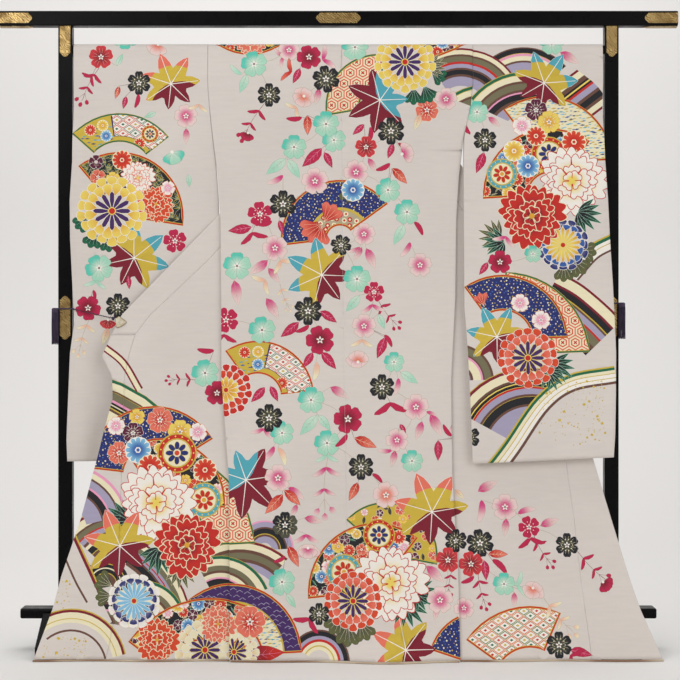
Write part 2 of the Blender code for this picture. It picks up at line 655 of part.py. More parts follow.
def build():
    lacquer = material("black_lacquer", (0.012, 0.011, 0.011), 0.22)
    brass = material("gilt_metal", (0.55, 0.40, 0.17), 0.38, 1.0)
    silk = material("silk", (0.72, 0.67, 0.64), 0.55)
    sleeve_silk = material("sleeve_silk", (0.72, 0.67, 0.64), 0.55)
    lining = material("hem_lining", (0.45, 0.33, 0.24), 0.6)
    cord_silk = material("purple_cord", (0.09, 0.06, 0.13), 0.7)
    ivory = material("clip_enamel", (0.80, 0.74, 0.58), 0.4)

    half = 0.5 * GAP
    back_panel("back_left", ("left", 0.0), ("centre", -half), silk)
    back_panel("back_right", ("centre", half), ("right", 0.0), silk)
    collar_levels = UPPER_LEVELS.copy()
    collar_levels[0] += half
    overlap_levels = LOWER_LEVELS.copy()
    overlap_levels[-1] -= half
    for side in ("left", "right"):
        front_panel("front_" + side, side, silk)
        edge_panel("collar_" + side, side, collar_levels, 3, silk)
        edge_panel("overlap_" + side, side, overlap_levels, 4, silk)
        sleeve_bag("sleeve_" + side, side, sleeve_silk)
    neck_collar(silk)

    x = np.linspace(body("left", 0.0) + HEM_INSET, body("right", 0.0) - HEM_INSET, 28)
    y = hang(x, HEM_Z) + WALL / 2.0
    tube("hem_back", np.stack((x, y, np.full_like(x, HEM_ROLL + GAP)), axis=1), HEM_ROLL, 1, lining)
    for side in ("left", "right"):
        x = np.linspace(body(side, 0.0), wing(side + "_edge", 0.0), 22)
        y = outer_leg(x, HEM_Z) + WALL / 2.0
        route = np.stack((x, y, np.full_like(x, HEM_ROLL + GAP)), axis=1)
        tube("hem_" + side, route, HEM_ROLL, 1, lining)

    low = (-BAR_HALF[0], -BAR_HALF[1], BAR_Z[0])
    box("top_bar", low, (BAR_HALF[0], BAR_HALF[1], BAR_Z[1]), lacquer, BAR_EDGE)
    low = (-LOWER_HALF[0], -LOWER_HALF[1], LOWER_Z[0])
    box("lower_bar", low, (LOWER_HALF[0], LOWER_HALF[1], LOWER_Z[1]), lacquer, LOWER_EDGE)
    rod_end = POST_X - POST_HALF[0] - GAP
    tube("sleeve_rod", [(-rod_end, 0.0, ROD_Z), (rod_end, 0.0, ROD_Z)], ROD_RADIUS, 4, lacquer)
    upright = (math.pi / 2.0, 0.0, 0.0)
    for name, side in (("left", -1.0), ("right", 1.0)):
        low = (side * POST_X - POST_HALF[0], -POST_HALF[1], LOWER_Z[1] + GAP)
        high = (side * POST_X + POST_HALF[0], POST_HALF[1], BAR_Z[0] - GAP)
        box("post_" + name, low, high, lacquer, POST_EDGE)
        foot("foot_" + name, side * FOOT_X, lacquer)
        for view, face in (("front", -1.0), ("rear", 1.0)):
            plate_y = face * (POST_HALF[1] + GAP + PLATE / 2.0)
            along_post = (math.pi / 2.0, math.pi / 2.0, 0.0)
            top_plate = ogee(*TOP_PLATE, (1.0,))
            spot = (side * POST_X, plate_y, TOP_PLATE_Z)
            slab("post_top_plate_" + view + "_" + name, top_plate, PLATE / 2.0, spot, along_post, brass)
            middle = ogee(*POST_PLATE, (1.0, -1.0))
            spot = (side * POST_X, plate_y, POST_PLATE_Z)
            slab("post_plate_" + view + "_" + name, middle, PLATE / 2.0, spot, along_post, brass)
            bar_y = face * (BAR_HALF[1] + GAP + PLATE / 2.0)
            cap = ogee(*END_PLATE, (-side,))
            spot = (side * (BAR_HALF[0] - END_PLATE_INSET), bar_y, BAR_PLATE_Z)
            slab("bar_plate_" + view + "_" + name, cap, PLATE / 2.0, spot, upright, brass)
        cap = ogee(*UNDER_PLATE, (-side,))
        spot = (side * (BAR_HALF[0] - END_PLATE_INSET), 0.0, BAR_Z[0] - GAP - PLATE / 2.0)
        slab("bar_plate_under_" + name, cap, PLATE / 2.0, spot, (0.0, 0.0, 0.0), brass)
    collar_clip(ivory, cord_silk)
    tube("cord_right", post_loop(1.0, RIGHT_CORD_Z), CORD_RADIUS, 2, cord_silk)
    tassel_y = -POST_HALF[1] - 3.0 * GAP - PLATE - 2.0 * CORD_RADIUS - TASSEL_SIZE[1] / 2.0
    tassel("tassel_left", (-TASSEL_X, tassel_y), LEFT_CORD_Z + CORD_RADIUS, cord_silk)
    tassel("tassel_right", (TASSEL_X, tassel_y), RIGHT_CORD_Z + CORD_RADIUS, cord_silk)
    for view, face in (("front", -1.0), ("rear", 1.0)):
        spot = (0.0, face * (BAR_HALF[1] + GAP + PLATE / 2.0), BAR_PLATE_Z)
        plate = ogee(*MIDDLE_PLATE, (1.0, -1.0))
        slab("bar_plate_" + view + "_middle", plate, PLATE / 2.0, spot, upright, brass)
    for item in PARTS.objects:
        item.location.y += DEPTH_SHIFT


for item in list(bpy.data.objects):
    bpy.data.objects.remove(item)
LOWER_LEVELS = levels(HEM_Z, COLLAR_END_Z, KNOWN_LOWER, LEVEL_STEP)
UPPER_LEVELS = levels(COLLAR_END_Z, SHOULDER_Z, KNOWN_UPPER, LEVEL_STEP)
PARTS = bpy.data.collections.new("furisode_on_stand")
bpy.context.scene.collection.children.link(PARTS)
build()
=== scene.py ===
import math
from collections import namedtuple
from functools import cache

import bpy
import numpy as np
from mathutils.geometry import delaunay_2d_cdt
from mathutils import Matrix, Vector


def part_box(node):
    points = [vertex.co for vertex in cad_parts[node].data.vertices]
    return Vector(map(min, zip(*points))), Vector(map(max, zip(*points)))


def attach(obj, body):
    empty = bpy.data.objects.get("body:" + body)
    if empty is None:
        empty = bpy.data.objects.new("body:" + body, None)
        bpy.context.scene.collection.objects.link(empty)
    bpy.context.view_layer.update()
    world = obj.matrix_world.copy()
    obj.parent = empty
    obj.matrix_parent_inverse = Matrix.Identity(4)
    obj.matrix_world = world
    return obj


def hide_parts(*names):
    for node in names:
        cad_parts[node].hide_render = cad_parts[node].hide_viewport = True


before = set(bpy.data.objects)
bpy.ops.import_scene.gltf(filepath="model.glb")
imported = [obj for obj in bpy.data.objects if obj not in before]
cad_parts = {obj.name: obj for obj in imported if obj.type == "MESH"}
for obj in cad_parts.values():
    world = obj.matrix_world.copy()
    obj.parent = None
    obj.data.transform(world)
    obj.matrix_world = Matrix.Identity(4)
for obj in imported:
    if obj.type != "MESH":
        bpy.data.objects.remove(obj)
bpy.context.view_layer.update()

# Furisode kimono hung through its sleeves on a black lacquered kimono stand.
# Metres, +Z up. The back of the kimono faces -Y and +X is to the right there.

bl_info = {
    "name": "Furisode on a kimono stand",
    "version": (1, 0, 0),
    "blender": (4, 5, 0),
    "location": "3D View > Sidebar > Furisode",
    "description": "Makes the dyed silk, cords, fittings and finishes of a furisode on its stand",
    "category": "Object",
}

# Box of the solids, before anything is added
ROD_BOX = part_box("sleeve_rod")

# The rod's axis, and the fold of cloth over it
AXIS_Y = 0.5 * (ROD_BOX[0].y + ROD_BOX[1].y)
ROD_RADIUS = 0.0112
FOLD_RADIUS = ROD_RADIUS + 0.0028
ROD_Z = 1.552 - FOLD_RADIUS
ROD_RUN = math.pi * FOLD_RADIUS
UP_AND_DOWN = 2.0 * ROD_Z + ROD_RUN
GAP = 0.0003
MM = 0.001

# How the cloth hangs: it clears the rod, then sweeps forward to the hem
RELIEF = 0.0060
RELIEF_DROP = 0.08
SWEEP = 0.165
WAVE = 0.0042
WAVE_LENGTH = 0.29
WAVE_LEAN = 2.2
CURL = 0.022
CURL_CENTRE = 0.12
CURL_WIDTH = 0.15
CURL_HEIGHT = 0.06

# Levels on the garment
SIDE_SEAM_Z = 1.19
CUFF_Z = 1.31
COLLAR_END_Z = 0.805
HEM_ROLL = 0.0026
HEM_Z = 2.0 * (HEM_ROLL + GAP) + 0.0006
SHOULDER_Z = ROD_Z - 0.004

# Fold of a front panel behind the back panel
SOLID_WALL = 0.0020
TURN_RADIUS = 0.002
LEG_GAP = 0.0011
NECK = (-0.1045, 0.1140)
COLLAR_HEIGHT = 0.054
NECK_RISE = 0.006

# Sleeve bags
BAG_DEPTH = {"left": 0.015, "right": 0.021}
LEFT_SLEEVE_RELIEF = 0.0060
LEFT_BAND_SHIFT = 0.0108
LEFT_BAND_X = -0.600
LEFT_BAND_WIDTH = 0.060
RIGHT_SLEEVE_LEAN = 0.0132
RIGHT_SLEEVE_TILT = 0.016
SLEEVE_WAVE = 0.0012
SLEEVE_WAVE_RATE = 30.0
SLEEVE_WAVE_Z = 1.05
SLEEVE_WAVE_FALL = 0.3
SLEEVE_TURN_Z = 1.36
BAND_FALL = 0.1
LEAN_FALL = 0.12
TILT_Z = 0.75
TILT_FALL = 0.2
CUFF_FALL = 0.05
SLEEVE_ROUNDING = 0.0014
ROUNDING_WIDTH = 0.004
SEWN_WIDTH = 0.018
BAG_FALL = 0.30
SLEEVE_FOLD_LEVELS = (1.0130, 1.0150)

# Back body: side and centre seams by level
BODY_COLUMNS = ("level", "left", "centre", "right")
BODY = (
    (1.5380, -0.3345, 0.0080, 0.3445),
    (1.4500, -0.3345, 0.0080, 0.3440),
    (1.3900, -0.3300, 0.0085, 0.3374),
    (1.3100, -0.3212, 0.0090, 0.3205),
    (1.2100, -0.3080, 0.0095, 0.3080),
    (1.1000, -0.3010, 0.0100, 0.3005),
    (0.9000, -0.2980, 0.0120, 0.2970),
    (0.6900, -0.2960, 0.0150, 0.2850),
    (0.4500, -0.2750, 0.0190, 0.2860),
    (0.2100, -0.2700, 0.0230, 0.2980),
    (0.0000, -0.2680, 0.0240, 0.3000),
)

# Fronts: how far the fold reaches behind the back, then seam and outer edge on each side
WING_COLUMNS = ("level", "reach", "left_seam", "left_edge", "right_seam", "right_edge")
WING = (
    (1.5380, 0.2250, -0.1150, -0.1680, 0.1250, 0.1780),
    (1.4500, 0.2200, -0.1300, -0.1850, 0.1360, 0.1910),
    (1.3300, 0.2000, -0.1680, -0.2250, 0.1950, 0.2550),
    (1.2100, 0.1750, -0.2030, -0.2680, 0.2600, 0.3350),
    (1.1150, 0.1500, -0.2225, -0.3026, 0.3250, 0.4050),
    (1.0000, 0.1050, -0.3280, -0.4130, 0.3850, 0.4680),
    (0.9000, 0.0700, -0.4315, -0.5090, 0.4450, 0.5220),
    (0.8560, 0.0580, -0.4790, -0.5520, 0.4800, 0.5530),
    (0.8050, 0.0450, -0.5170, -0.5770, 0.5170, 0.5770),
    (0.7515, 0.0400, -0.5320, -0.6000, 0.5350, 0.5980),
    (0.7000, 0.0350, -0.5420, -0.5740, 0.5480, 0.6030),
    (0.6450, 0.0310, -0.5430, -0.5710, 0.5560, 0.6080),
    (0.5750, 0.0270, -0.5440, -0.5890, 0.5640, 0.6220),
    (0.4920, 0.0240, -0.5450, -0.6080, 0.5720, 0.6415),
    (0.3430, 0.0200, -0.5470, -0.6450, 0.5900, 0.6830),
    (0.2080, 0.0160, -0.5490, -0.6880, 0.6020, 0.7210),
    (0.1250, 0.0140, -0.5530, -0.7080, 0.6110, 0.7480),
    (0.0460, 0.0125, -0.5640, -0.7360, 0.6200, 0.7820),
    (0.0000, 0.0120, -0.5750, -0.7515, 0.6250, 0.8010),
)

# Sleeves: inner and outer edge by level
SLEEVE_COLUMNS = ("level", "left_inner", "left_outer", "right_inner", "right_outer")
SLEEVE = (
    (1.5380, -0.3350, -0.6790, 0.3450, 0.6775),
    (1.4500, -0.3350, -0.6775, 0.3446, 0.6770),
    (1.3900, -0.3306, -0.6770, 0.3380, 0.6750),
    (1.3100, -0.3218, -0.6795, 0.3211, 0.6785),
    (1.2490, -0.3140, -0.6797, 0.3190, 0.6797),
    (1.1500, -0.3070, -0.6860, 0.3190, 0.6860),
    (1.0500, -0.3060, -0.6850, 0.3190, 0.6900),
    (0.9300, -0.3060, -0.6790, 0.3190, 0.6960),
    (0.8720, -0.3060, -0.6762, 0.3190, 0.6980),
    (0.8430, -0.3060, -0.6730, 0.3215, 0.6990),
    (0.7600, -0.3070, -0.6850, 0.3270, 0.7010),
    (0.6400, -0.3080, -0.6900, 0.3320, 0.6980),
    (0.5400, -0.3100, -0.6940, 0.3350, 0.6940),
    (0.4825, -0.3120, -0.6920, 0.3360, 0.6890),
)
SLEEVE_END_Z = SLEEVE[-1][0]

# Dyes as a screen shows them
DYES = {
    "crimson": (192, 26, 74), "dark_red": (126, 14, 38), "red": (200, 36, 26), "vermilion": (220, 72, 36),
    "coral": (232, 116, 94), "rose": (205, 52, 62), "pink": (238, 158, 192), "magenta": (214, 58, 128),
    "blush": (236, 208, 204), "mint": (166, 218, 192), "pale_mint": (204, 226, 208), "sea": (92, 204, 182),
    "teal": (80, 168, 184), "gold": (206, 178, 66), "amber": (226, 164, 48), "yellow": (240, 212, 98),
    "cream": (240, 230, 194), "ivory": (246, 240, 230), "black": (22, 22, 28), "charcoal": (78, 78, 60),
    "brown": (106, 70, 56), "purple": (66, 34, 98), "plum": (92, 22, 54), "navy": (32, 42, 110),
    "blue": (54, 98, 172), "sky": (132, 192, 224), "lilac": (168, 160, 186), "moss": (118, 112, 84),
    "forest": (18, 104, 70), "green": (28, 74, 58), "olive": (96, 100, 56), "tan": (184, 168, 138),
    "sage": (150, 176, 152), "peach": (238, 186, 160), "ground": (220, 211, 204),
}


def linear(screen):
    """A screen colour in linear light, by the curve of sRGB."""
    share = np.array(screen) / 255.0
    return tuple(np.where(share <= 0.04045, share / 12.92, ((share + 0.055) / 1.055) ** 2.4).tolist())


# Sizes and colours a user may change

def colour_property(label, words, value):
    """A colour in linear light."""
    return bpy.props.FloatVectorProperty(
        name=label, description=words, subtype="COLOR", size=3, min=0.0, max=1.0, default=value)


def length_property(label, words, value, **limits):
    """A length in metres."""
    return bpy.props.FloatProperty(name=label, description=words, default=value, unit="LENGTH", **limits)


class FurisodeCloth(bpy.types.PropertyGroup):
    """Sizes of the cloth."""

    shell: length_property("Shell", "Thickness of the silk with its lining", 0.0016, min=0.0008, max=0.0020)
    pitch: length_property(
        "Pitch", "Distance between the points of a panel that shows", 0.0090, min=0.003, max=0.03)
    hidden_pitch: length_property(
        "Hidden pitch", "Distance between the points of a panel's inner side", 0.022, min=0.006, max=0.05)
    seam_depth: length_property(
        "Seam depth", "How far the cloth sinks beside a seam", 0.0007, min=0.0, max=0.002)
    seam_width: length_property(
        "Seam width", "Distance over which the cloth sinks beside a seam", 0.0026, min=0.001, max=0.01)
    crease_share: bpy.props.FloatProperty(
        name="Creases", description="Share of the full height of each crease",
        default=1.0, min=0.0, max=2.0)


class FurisodeStand(bpy.types.PropertyGroup):
    """Finish of the stand."""

    lacquer: colour_property("Lacquer", "Black lacquer of the stand", (0.004, 0.0035, 0.004))
    brass: colour_property("Gilt metal", "Metal of the fittings", (0.60, 0.42, 0.17))
    purple: colour_property("Cord silk", "Silk of the tie cords and tassels", (0.036, 0.024, 0.052))
    enamel: colour_property("Clip", "Enamel of the collar clip", (0.74, 0.68, 0.55))


class FurisodeDyes(bpy.types.PropertyGroup):
    """Dyes of the design, in linear light."""

    __annotations__ = {
        name: colour_property(name.replace("_", " ").capitalize(), "Dye of the design", linear(screen))
        for name, screen in DYES.items()}


class FurisodeStudio(bpy.types.PropertyGroup):
    """Camera, picture and paper."""

    picture: bpy.props.IntProperty(
        name="Picture", description="Width and height of the picture in pixels", default=680)
    focal: bpy.props.FloatProperty(
        name="Focal length", description="Focal length in pixels of the picture", default=1595.0)
    camera_x: length_property("Camera place", "Place of the camera across", 0.004)
    distance: length_property("Distance", "Distance of the camera from the rod", 4.10)
    height: length_property("Height", "Height of the camera", 0.792)
    paper: colour_property("Paper", "Floor and backdrop", (0.84, 0.825, 0.81))


# Shape of the cloth

def smooth(value):
    """Ease from 0 to 1 with level ends: three squares less two cubes."""
    part = np.clip(value, 0.0, 1.0)
    return part * part * (3.0 - 2.0 * part)


def read(table, columns, name, level):
    """Value of a named column at a level, in straight lines between its rows."""
    rows = np.array(table)[::-1]
    return np.interp(level, rows[:, 0], rows[:, columns.index(name)])


def body(name, level):
    return read(BODY, BODY_COLUMNS, name, level)


def wing(name, level):
    return read(WING, WING_COLUMNS, name, level)


def sleeve(name, level):
    return read(SLEEVE, SLEEVE_COLUMNS, name, level)


def hang(x, z):
    """Depth of the back: clear of the rod, forward by the drop squared, sine waves and a curled hem."""
    drop = np.clip(ROD_Z - z, 0.0, None)
    share = drop / ROD_Z
    depth = -FOLD_RADIUS - RELIEF * smooth(drop / RELIEF_DROP) - SWEEP * share ** 2
    wave = WAVE * share ** 2 * np.sin(2.0 * math.pi * x / WAVE_LENGTH + WAVE_LEAN * share)
    curl = CURL * smooth(1.0 - z / CURL_HEIGHT) * np.exp(-((x - CURL_CENTRE) / CURL_WIDTH) ** 2)
    return depth + wave - curl


def inner_leg(x, z):
    """Depth of a front behind the back: from the far side of the rod to the side seam."""
    joined = smooth((ROD_Z - z) / (ROD_Z - SIDE_SEAM_Z))
    return (1.0 - joined) * FOLD_RADIUS + joined * (hang(x, z) + 2.0 * SOLID_WALL + LEG_GAP)


def outer_leg(x, z):
    """Depth of a front past its fold."""
    return inner_leg(x, z) + 2.0 * TURN_RADIUS


def left_sleeve_face(x, z):
    """Near face of the left sleeve: hangs straight, its outer band passes in front of the post."""
    drop = np.clip(ROD_Z - z, 0.0, None)
    band = smooth((LEFT_BAND_X - x) / LEFT_BAND_WIDTH) * smooth((SLEEVE_TURN_Z - z) / BAND_FALL)
    soft = SLEEVE_WAVE * smooth((SLEEVE_WAVE_Z - z) / SLEEVE_WAVE_FALL) * np.sin(SLEEVE_WAVE_RATE * x)
    return -FOLD_RADIUS - LEFT_SLEEVE_RELIEF * smooth(drop / RELIEF_DROP) - LEFT_BAND_SHIFT * band + soft


def right_sleeve_face(x, z):
    """Near face of the right sleeve: leans on the right front, just ahead of the back."""
    return hang(x, z) - RIGHT_SLEEVE_LEAN * smooth((SLEEVE_TURN_Z - z) / LEAN_FALL)


# Share of a pitch that an even level keeps from a known one, and the close columns beside a seam
LEAST_STEP = 0.35
SEAM_COLUMNS = (0.0, 0.0012, 0.0030, 0.0060)


def levels(bottom, top, pitch, known=()):
    """Levels from bottom to top a pitch apart, with the known ones among them."""
    even = np.linspace(bottom, top, max(2, round((top - bottom) / pitch) + 1))
    kept = np.array([level for level in known if bottom < level < top])
    if kept.size == 0:
        return even
    clear = np.abs(even[:, None] - kept[None, :]).min(axis=1) > LEAST_STEP * pitch
    clear[[0, -1]] = True
    return np.sort(np.append(even[clear], kept))


def strip(left, right, rows, pitch):
    """Grid of a panel between two edges: even columns, and close ones beside each edge."""
    close = np.array(SEAM_COLUMNS)
    width = float(np.max(right - left))
    count = max(3, round((width - 2.0 * close[-1]) / pitch))
    even = np.linspace(0.0, 1.0, count)[None, 1:-1]
    low = left[:, None] + close[None, :]
    high = right[:, None] - close[None, ::-1]
    middle = low[:, -1:] + (high[:, :1] - low[:, -1:]) * even
    across = np.hstack((low, middle, high))
    return np.stack((across, np.repeat(rows[:, None], across.shape[1], axis=1)), axis=-1)


def ring_of(grid):
    """Border of a grid of points, anticlockwise, and the points inside it."""
    border = np.concatenate((grid[0, :-1], grid[:-1, -1], grid[-1, :0:-1], grid[:0:-1, 0]))
    return border, grid[1:-1, 1:-1].reshape(-1, 2)


def triangulate(points, edges, border):
    """Constrained Delaunay triangles of points and edges inside a border given by its points' numbers."""
    found = delaunay_2d_cdt(points.tolist(), edges, [border], 1, 1.0e-5, True)
    flat = np.array([tuple(point) for point in found[0]])
    return flat, np.array(found[2])[np.fromiter(map(len, found[5]), int) > 0]


def inside_ring(spots, ring):
    """Which points lie inside a ring: to their right passes an odd number of its edges."""
    start, end = ring, np.roll(ring, -1, axis=0)
    x, y = spots[:, :1], spots[:, 1:]
    spans = (start[:, 1] > y) != (end[:, 1] > y)
    rise = np.where(end[:, 1] == start[:, 1], 1.0, end[:, 1] - start[:, 1])
    crossing = start[:, 0] + (y - start[:, 1]) * (end[:, 0] - start[:, 0]) / rise
    return ((x < crossing) & spans).sum(axis=1) % 2 == 1


def lift(surface, flat):
    """Points of a surface and its normals: the cross product of two steps of a tenth of a millimetre."""
    step = 1.0e-4
    spot = surface(flat[:, 0], flat[:, 1])
    across = surface(flat[:, 0] + step, flat[:, 1]) - surface(flat[:, 0] - step, flat[:, 1])
    upward = surface(flat[:, 0], flat[:, 1] + step) - surface(flat[:, 0], flat[:, 1] - step)
    normal = np.cross(across, upward)
    return spot, normal / np.linalg.norm(normal, axis=1, keepdims=True)


def in_order(grid, spots):
    """Numbers of a panel's border points, anticlockwise from its lower left corner."""
    number = np.arange(len(spots))
    low, high = spots[:, 1] < grid[0, 0, 1] + 1.0e-6, spots[:, 1] > grid[-1, 0, 1] - 1.0e-6
    left = np.interp(spots[:, 1], grid[:, 0, 1], grid[:, 0, 0])
    right = np.interp(spots[:, 1], grid[:, -1, 1], grid[:, -1, 0])
    to_right = (spots[:, 0] - left > right - spots[:, 0]) & ~low & ~high
    to_left = ~(to_right | low | high)
    turns = ((low, 0, 1), (to_right, 1, 1), (high, 0, -1), (to_left, 1, -1))
    return np.concatenate([number[side][np.argsort(way * spots[side, axis])] for side, axis, way in turns])


def border_of(triangles):
    """Directed edges that only one triangle has."""
    edges = np.concatenate((triangles[:, [0, 1]], triangles[:, [1, 2]], triangles[:, [2, 0]]))
    size = int(triangles.max()) + 1
    low = edges.min(axis=1).astype(np.int64)
    key = low * size + edges.max(axis=1)
    _, first, count = np.unique(key, return_index=True, return_counts=True)
    return edges[first[count == 1]]


# Shares of the texture square: outer side, rim and inner side, and the margin round each column
OUTER_SHARE = (0.0, 0.80)
RIM_SHARE = (0.804, 0.816)
INNER_SHARE = (0.82, 1.0)
ATLAS_MARGIN = 0.03


def atlas(flat, triangles, low, high, shares):
    """Corner coordinates in the unit square: the panel is cut across into columns, side by side."""
    size = high - low
    columns = max(1, round(math.sqrt(size[1] / size[0])))
    corner = flat[triangles]
    middle = corner[:, :, 1].mean(axis=1)
    column = np.clip(((middle - low[1]) / size[1] * columns).astype(int), 0, columns - 1)[:, None]
    across = (corner[:, :, 0] - low[0]) / size[0]
    up = (corner[:, :, 1] - low[1]) / size[1] * columns - column
    wide = (shares[1] - shares[0]) / columns
    u = shares[0] + wide * (column + ATLAS_MARGIN + (1.0 - 2.0 * ATLAS_MARGIN) * across)
    v = ATLAS_MARGIN + (1.0 - 2.0 * ATLAS_MARGIN) * up
    return np.stack((u, v), axis=-1)


def cloth_piece(name, grid, surface, group):
    """Closed shell of dyed cloth: a patterned outer side, a plain inner side a shell behind, and a rim."""
    sizes = bpy.context.scene.furisode_cloth
    work = dyework()
    border, inside = ring_of(grid)
    low, high = border.min(axis=0), border.max(axis=0)
    points, edges, kept = work.near(low, high, group)
    edges = edges + len(border) + len(inside)
    ring = list(range(len(border)))
    flat, triangles = triangulate(np.concatenate((border, inside, points)), edges.tolist(), ring)
    used, triangles = np.unique(triangles, return_inverse=True)
    flat, triangles = flat[used], triangles.reshape(-1, 3)
    top = work.topmost(flat[triangles].mean(axis=1), kept)

    edge_points = np.unique(border_of(triangles))
    edge_points = edge_points[in_order(grid, flat[edge_points])]
    rim = np.stack((edge_points, np.roll(edge_points, -1)), axis=1)
    skip = max(1, round(sizes.hidden_pitch / float(np.median(np.diff(grid[:, 0, 1])))))
    close = len(SEAM_COLUMNS)
    field = grid[skip:-1:skip, close:-close:skip].reshape(-1, 2)
    inner_points = np.concatenate((flat[edge_points], field))
    inner_flat, inner_triangles = triangulate(inner_points, [], list(range(len(edge_points))))

    outer_spot, _ = lift(surface, flat)
    inner_spot, inner_normal = lift(surface, inner_flat)
    inner_spot = inner_spot - sizes.shell * inner_normal
    spots = np.concatenate((outer_spot, inner_spot))
    shift = len(outer_spot)
    key = {tuple(pair): index for index, pair in enumerate(np.round(inner_flat, 7).tolist())}
    match = np.array([key.get(tuple(pair), -1) for pair in np.round(flat[edge_points], 7).tolist()])
    if (match < 0).any():
        raise RuntimeError(name + ": the inner side lost part of its rim")
    back = np.stack((match, np.roll(match, -1)), axis=1) + shift
    walls = np.stack((rim[:, 1], rim[:, 0], back[:, 0], back[:, 1]), axis=1)
    inner = inner_triangles[:, ::-1] + shift

    outer_uv = atlas(flat, triangles, low, high, OUTER_SHARE)
    inner_uv = atlas(inner_flat, inner_triangles[:, ::-1], low, high, INNER_SHARE)
    wall_uv = np.zeros((len(walls), 4, 2))
    wall_height = flat[rim][:, [1, 0, 0, 1], 1]
    wall_uv[:, :, 0] = np.repeat(RIM_SHARE, 2)
    wall_uv[:, :, 1] = (wall_height - low[1]) / (high[1] - low[1])
    uv = np.concatenate((outer_uv.reshape(-1, 2), inner_uv.reshape(-1, 2), wall_uv.reshape(-1, 2)))

    dyed, gilded = work.colours(flat[triangles], top, kept)
    plain = len(inner) * 3 + len(walls) * 4
    ground = np.repeat(work.ground[None, :], plain, axis=0)
    dyed = np.concatenate((dyed.reshape(-1, 4), ground))
    gilded = np.concatenate((gilded.reshape(-1), np.zeros(plain)))

    mesh = bpy.data.meshes.new(name + "_silk")
    mesh.from_pydata(spots.tolist(), [], triangles.tolist() + inner.tolist() + walls.tolist())
    for material in (silk(), lining()):
        mesh.materials.append(material)
    side = np.concatenate((np.zeros(len(triangles), int), np.ones(len(inner) + len(walls), int)))
    mesh.polygons.foreach_set("material_index", side)
    mesh.uv_layers.new(name="OFBake").uv.foreach_set("vector", uv.ravel())
    mesh.attributes.new("dye", "FLOAT_COLOR", "CORNER").data.foreach_set("color", dyed.ravel())
    mesh.attributes.new("gilt", "FLOAT", "CORNER").data.foreach_set("value", gilded)
    mesh.shade_smooth()
    mesh.update()
    made = bpy.data.objects.new(name + "_silk", mesh)
    bpy.context.scene.collection.objects.link(made)
    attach(made, "root")
    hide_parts(name)
    return made


# Dye and gilding

def dye(name):
    """A dye's colour in linear light."""
    return tuple(getattr(bpy.context.scene.furisode_dyes, name))


def signed_area(ring):
    """Half the sum of the cross products round a ring: above zero where it runs anticlockwise."""
    after = np.roll(ring, -1, axis=0)
    return 0.5 * float(np.sum(ring[:, 0] * after[:, 1] - ring[:, 1] * after[:, 0]))


def drawn_in(ring, width):
    """A ring moved inwards: each point goes square to the line between its neighbours."""
    along = np.roll(ring, -1, axis=0) - np.roll(ring, 1, axis=0)
    along = along / np.maximum(np.linalg.norm(along, axis=1, keepdims=True), 1.0e-9)
    inward = np.stack((-along[:, 1], along[:, 0]), axis=1) * math.copysign(1.0, signed_area(ring))
    return ring + width * inward


def gilding(ink, share=0.6):
    """Gold dyes are laid as leaf, which covers a share of the ground."""
    return share if ink == "gold" else 0.0


# Smallest ring that the far layers repeat, and the columns of a polygon's facts
SMALLEST_COPY = 0.012
INK, TIP, CENTRE, START, END, GILT = slice(0, 3), slice(3, 6), slice(6, 8), 8, 9, 10


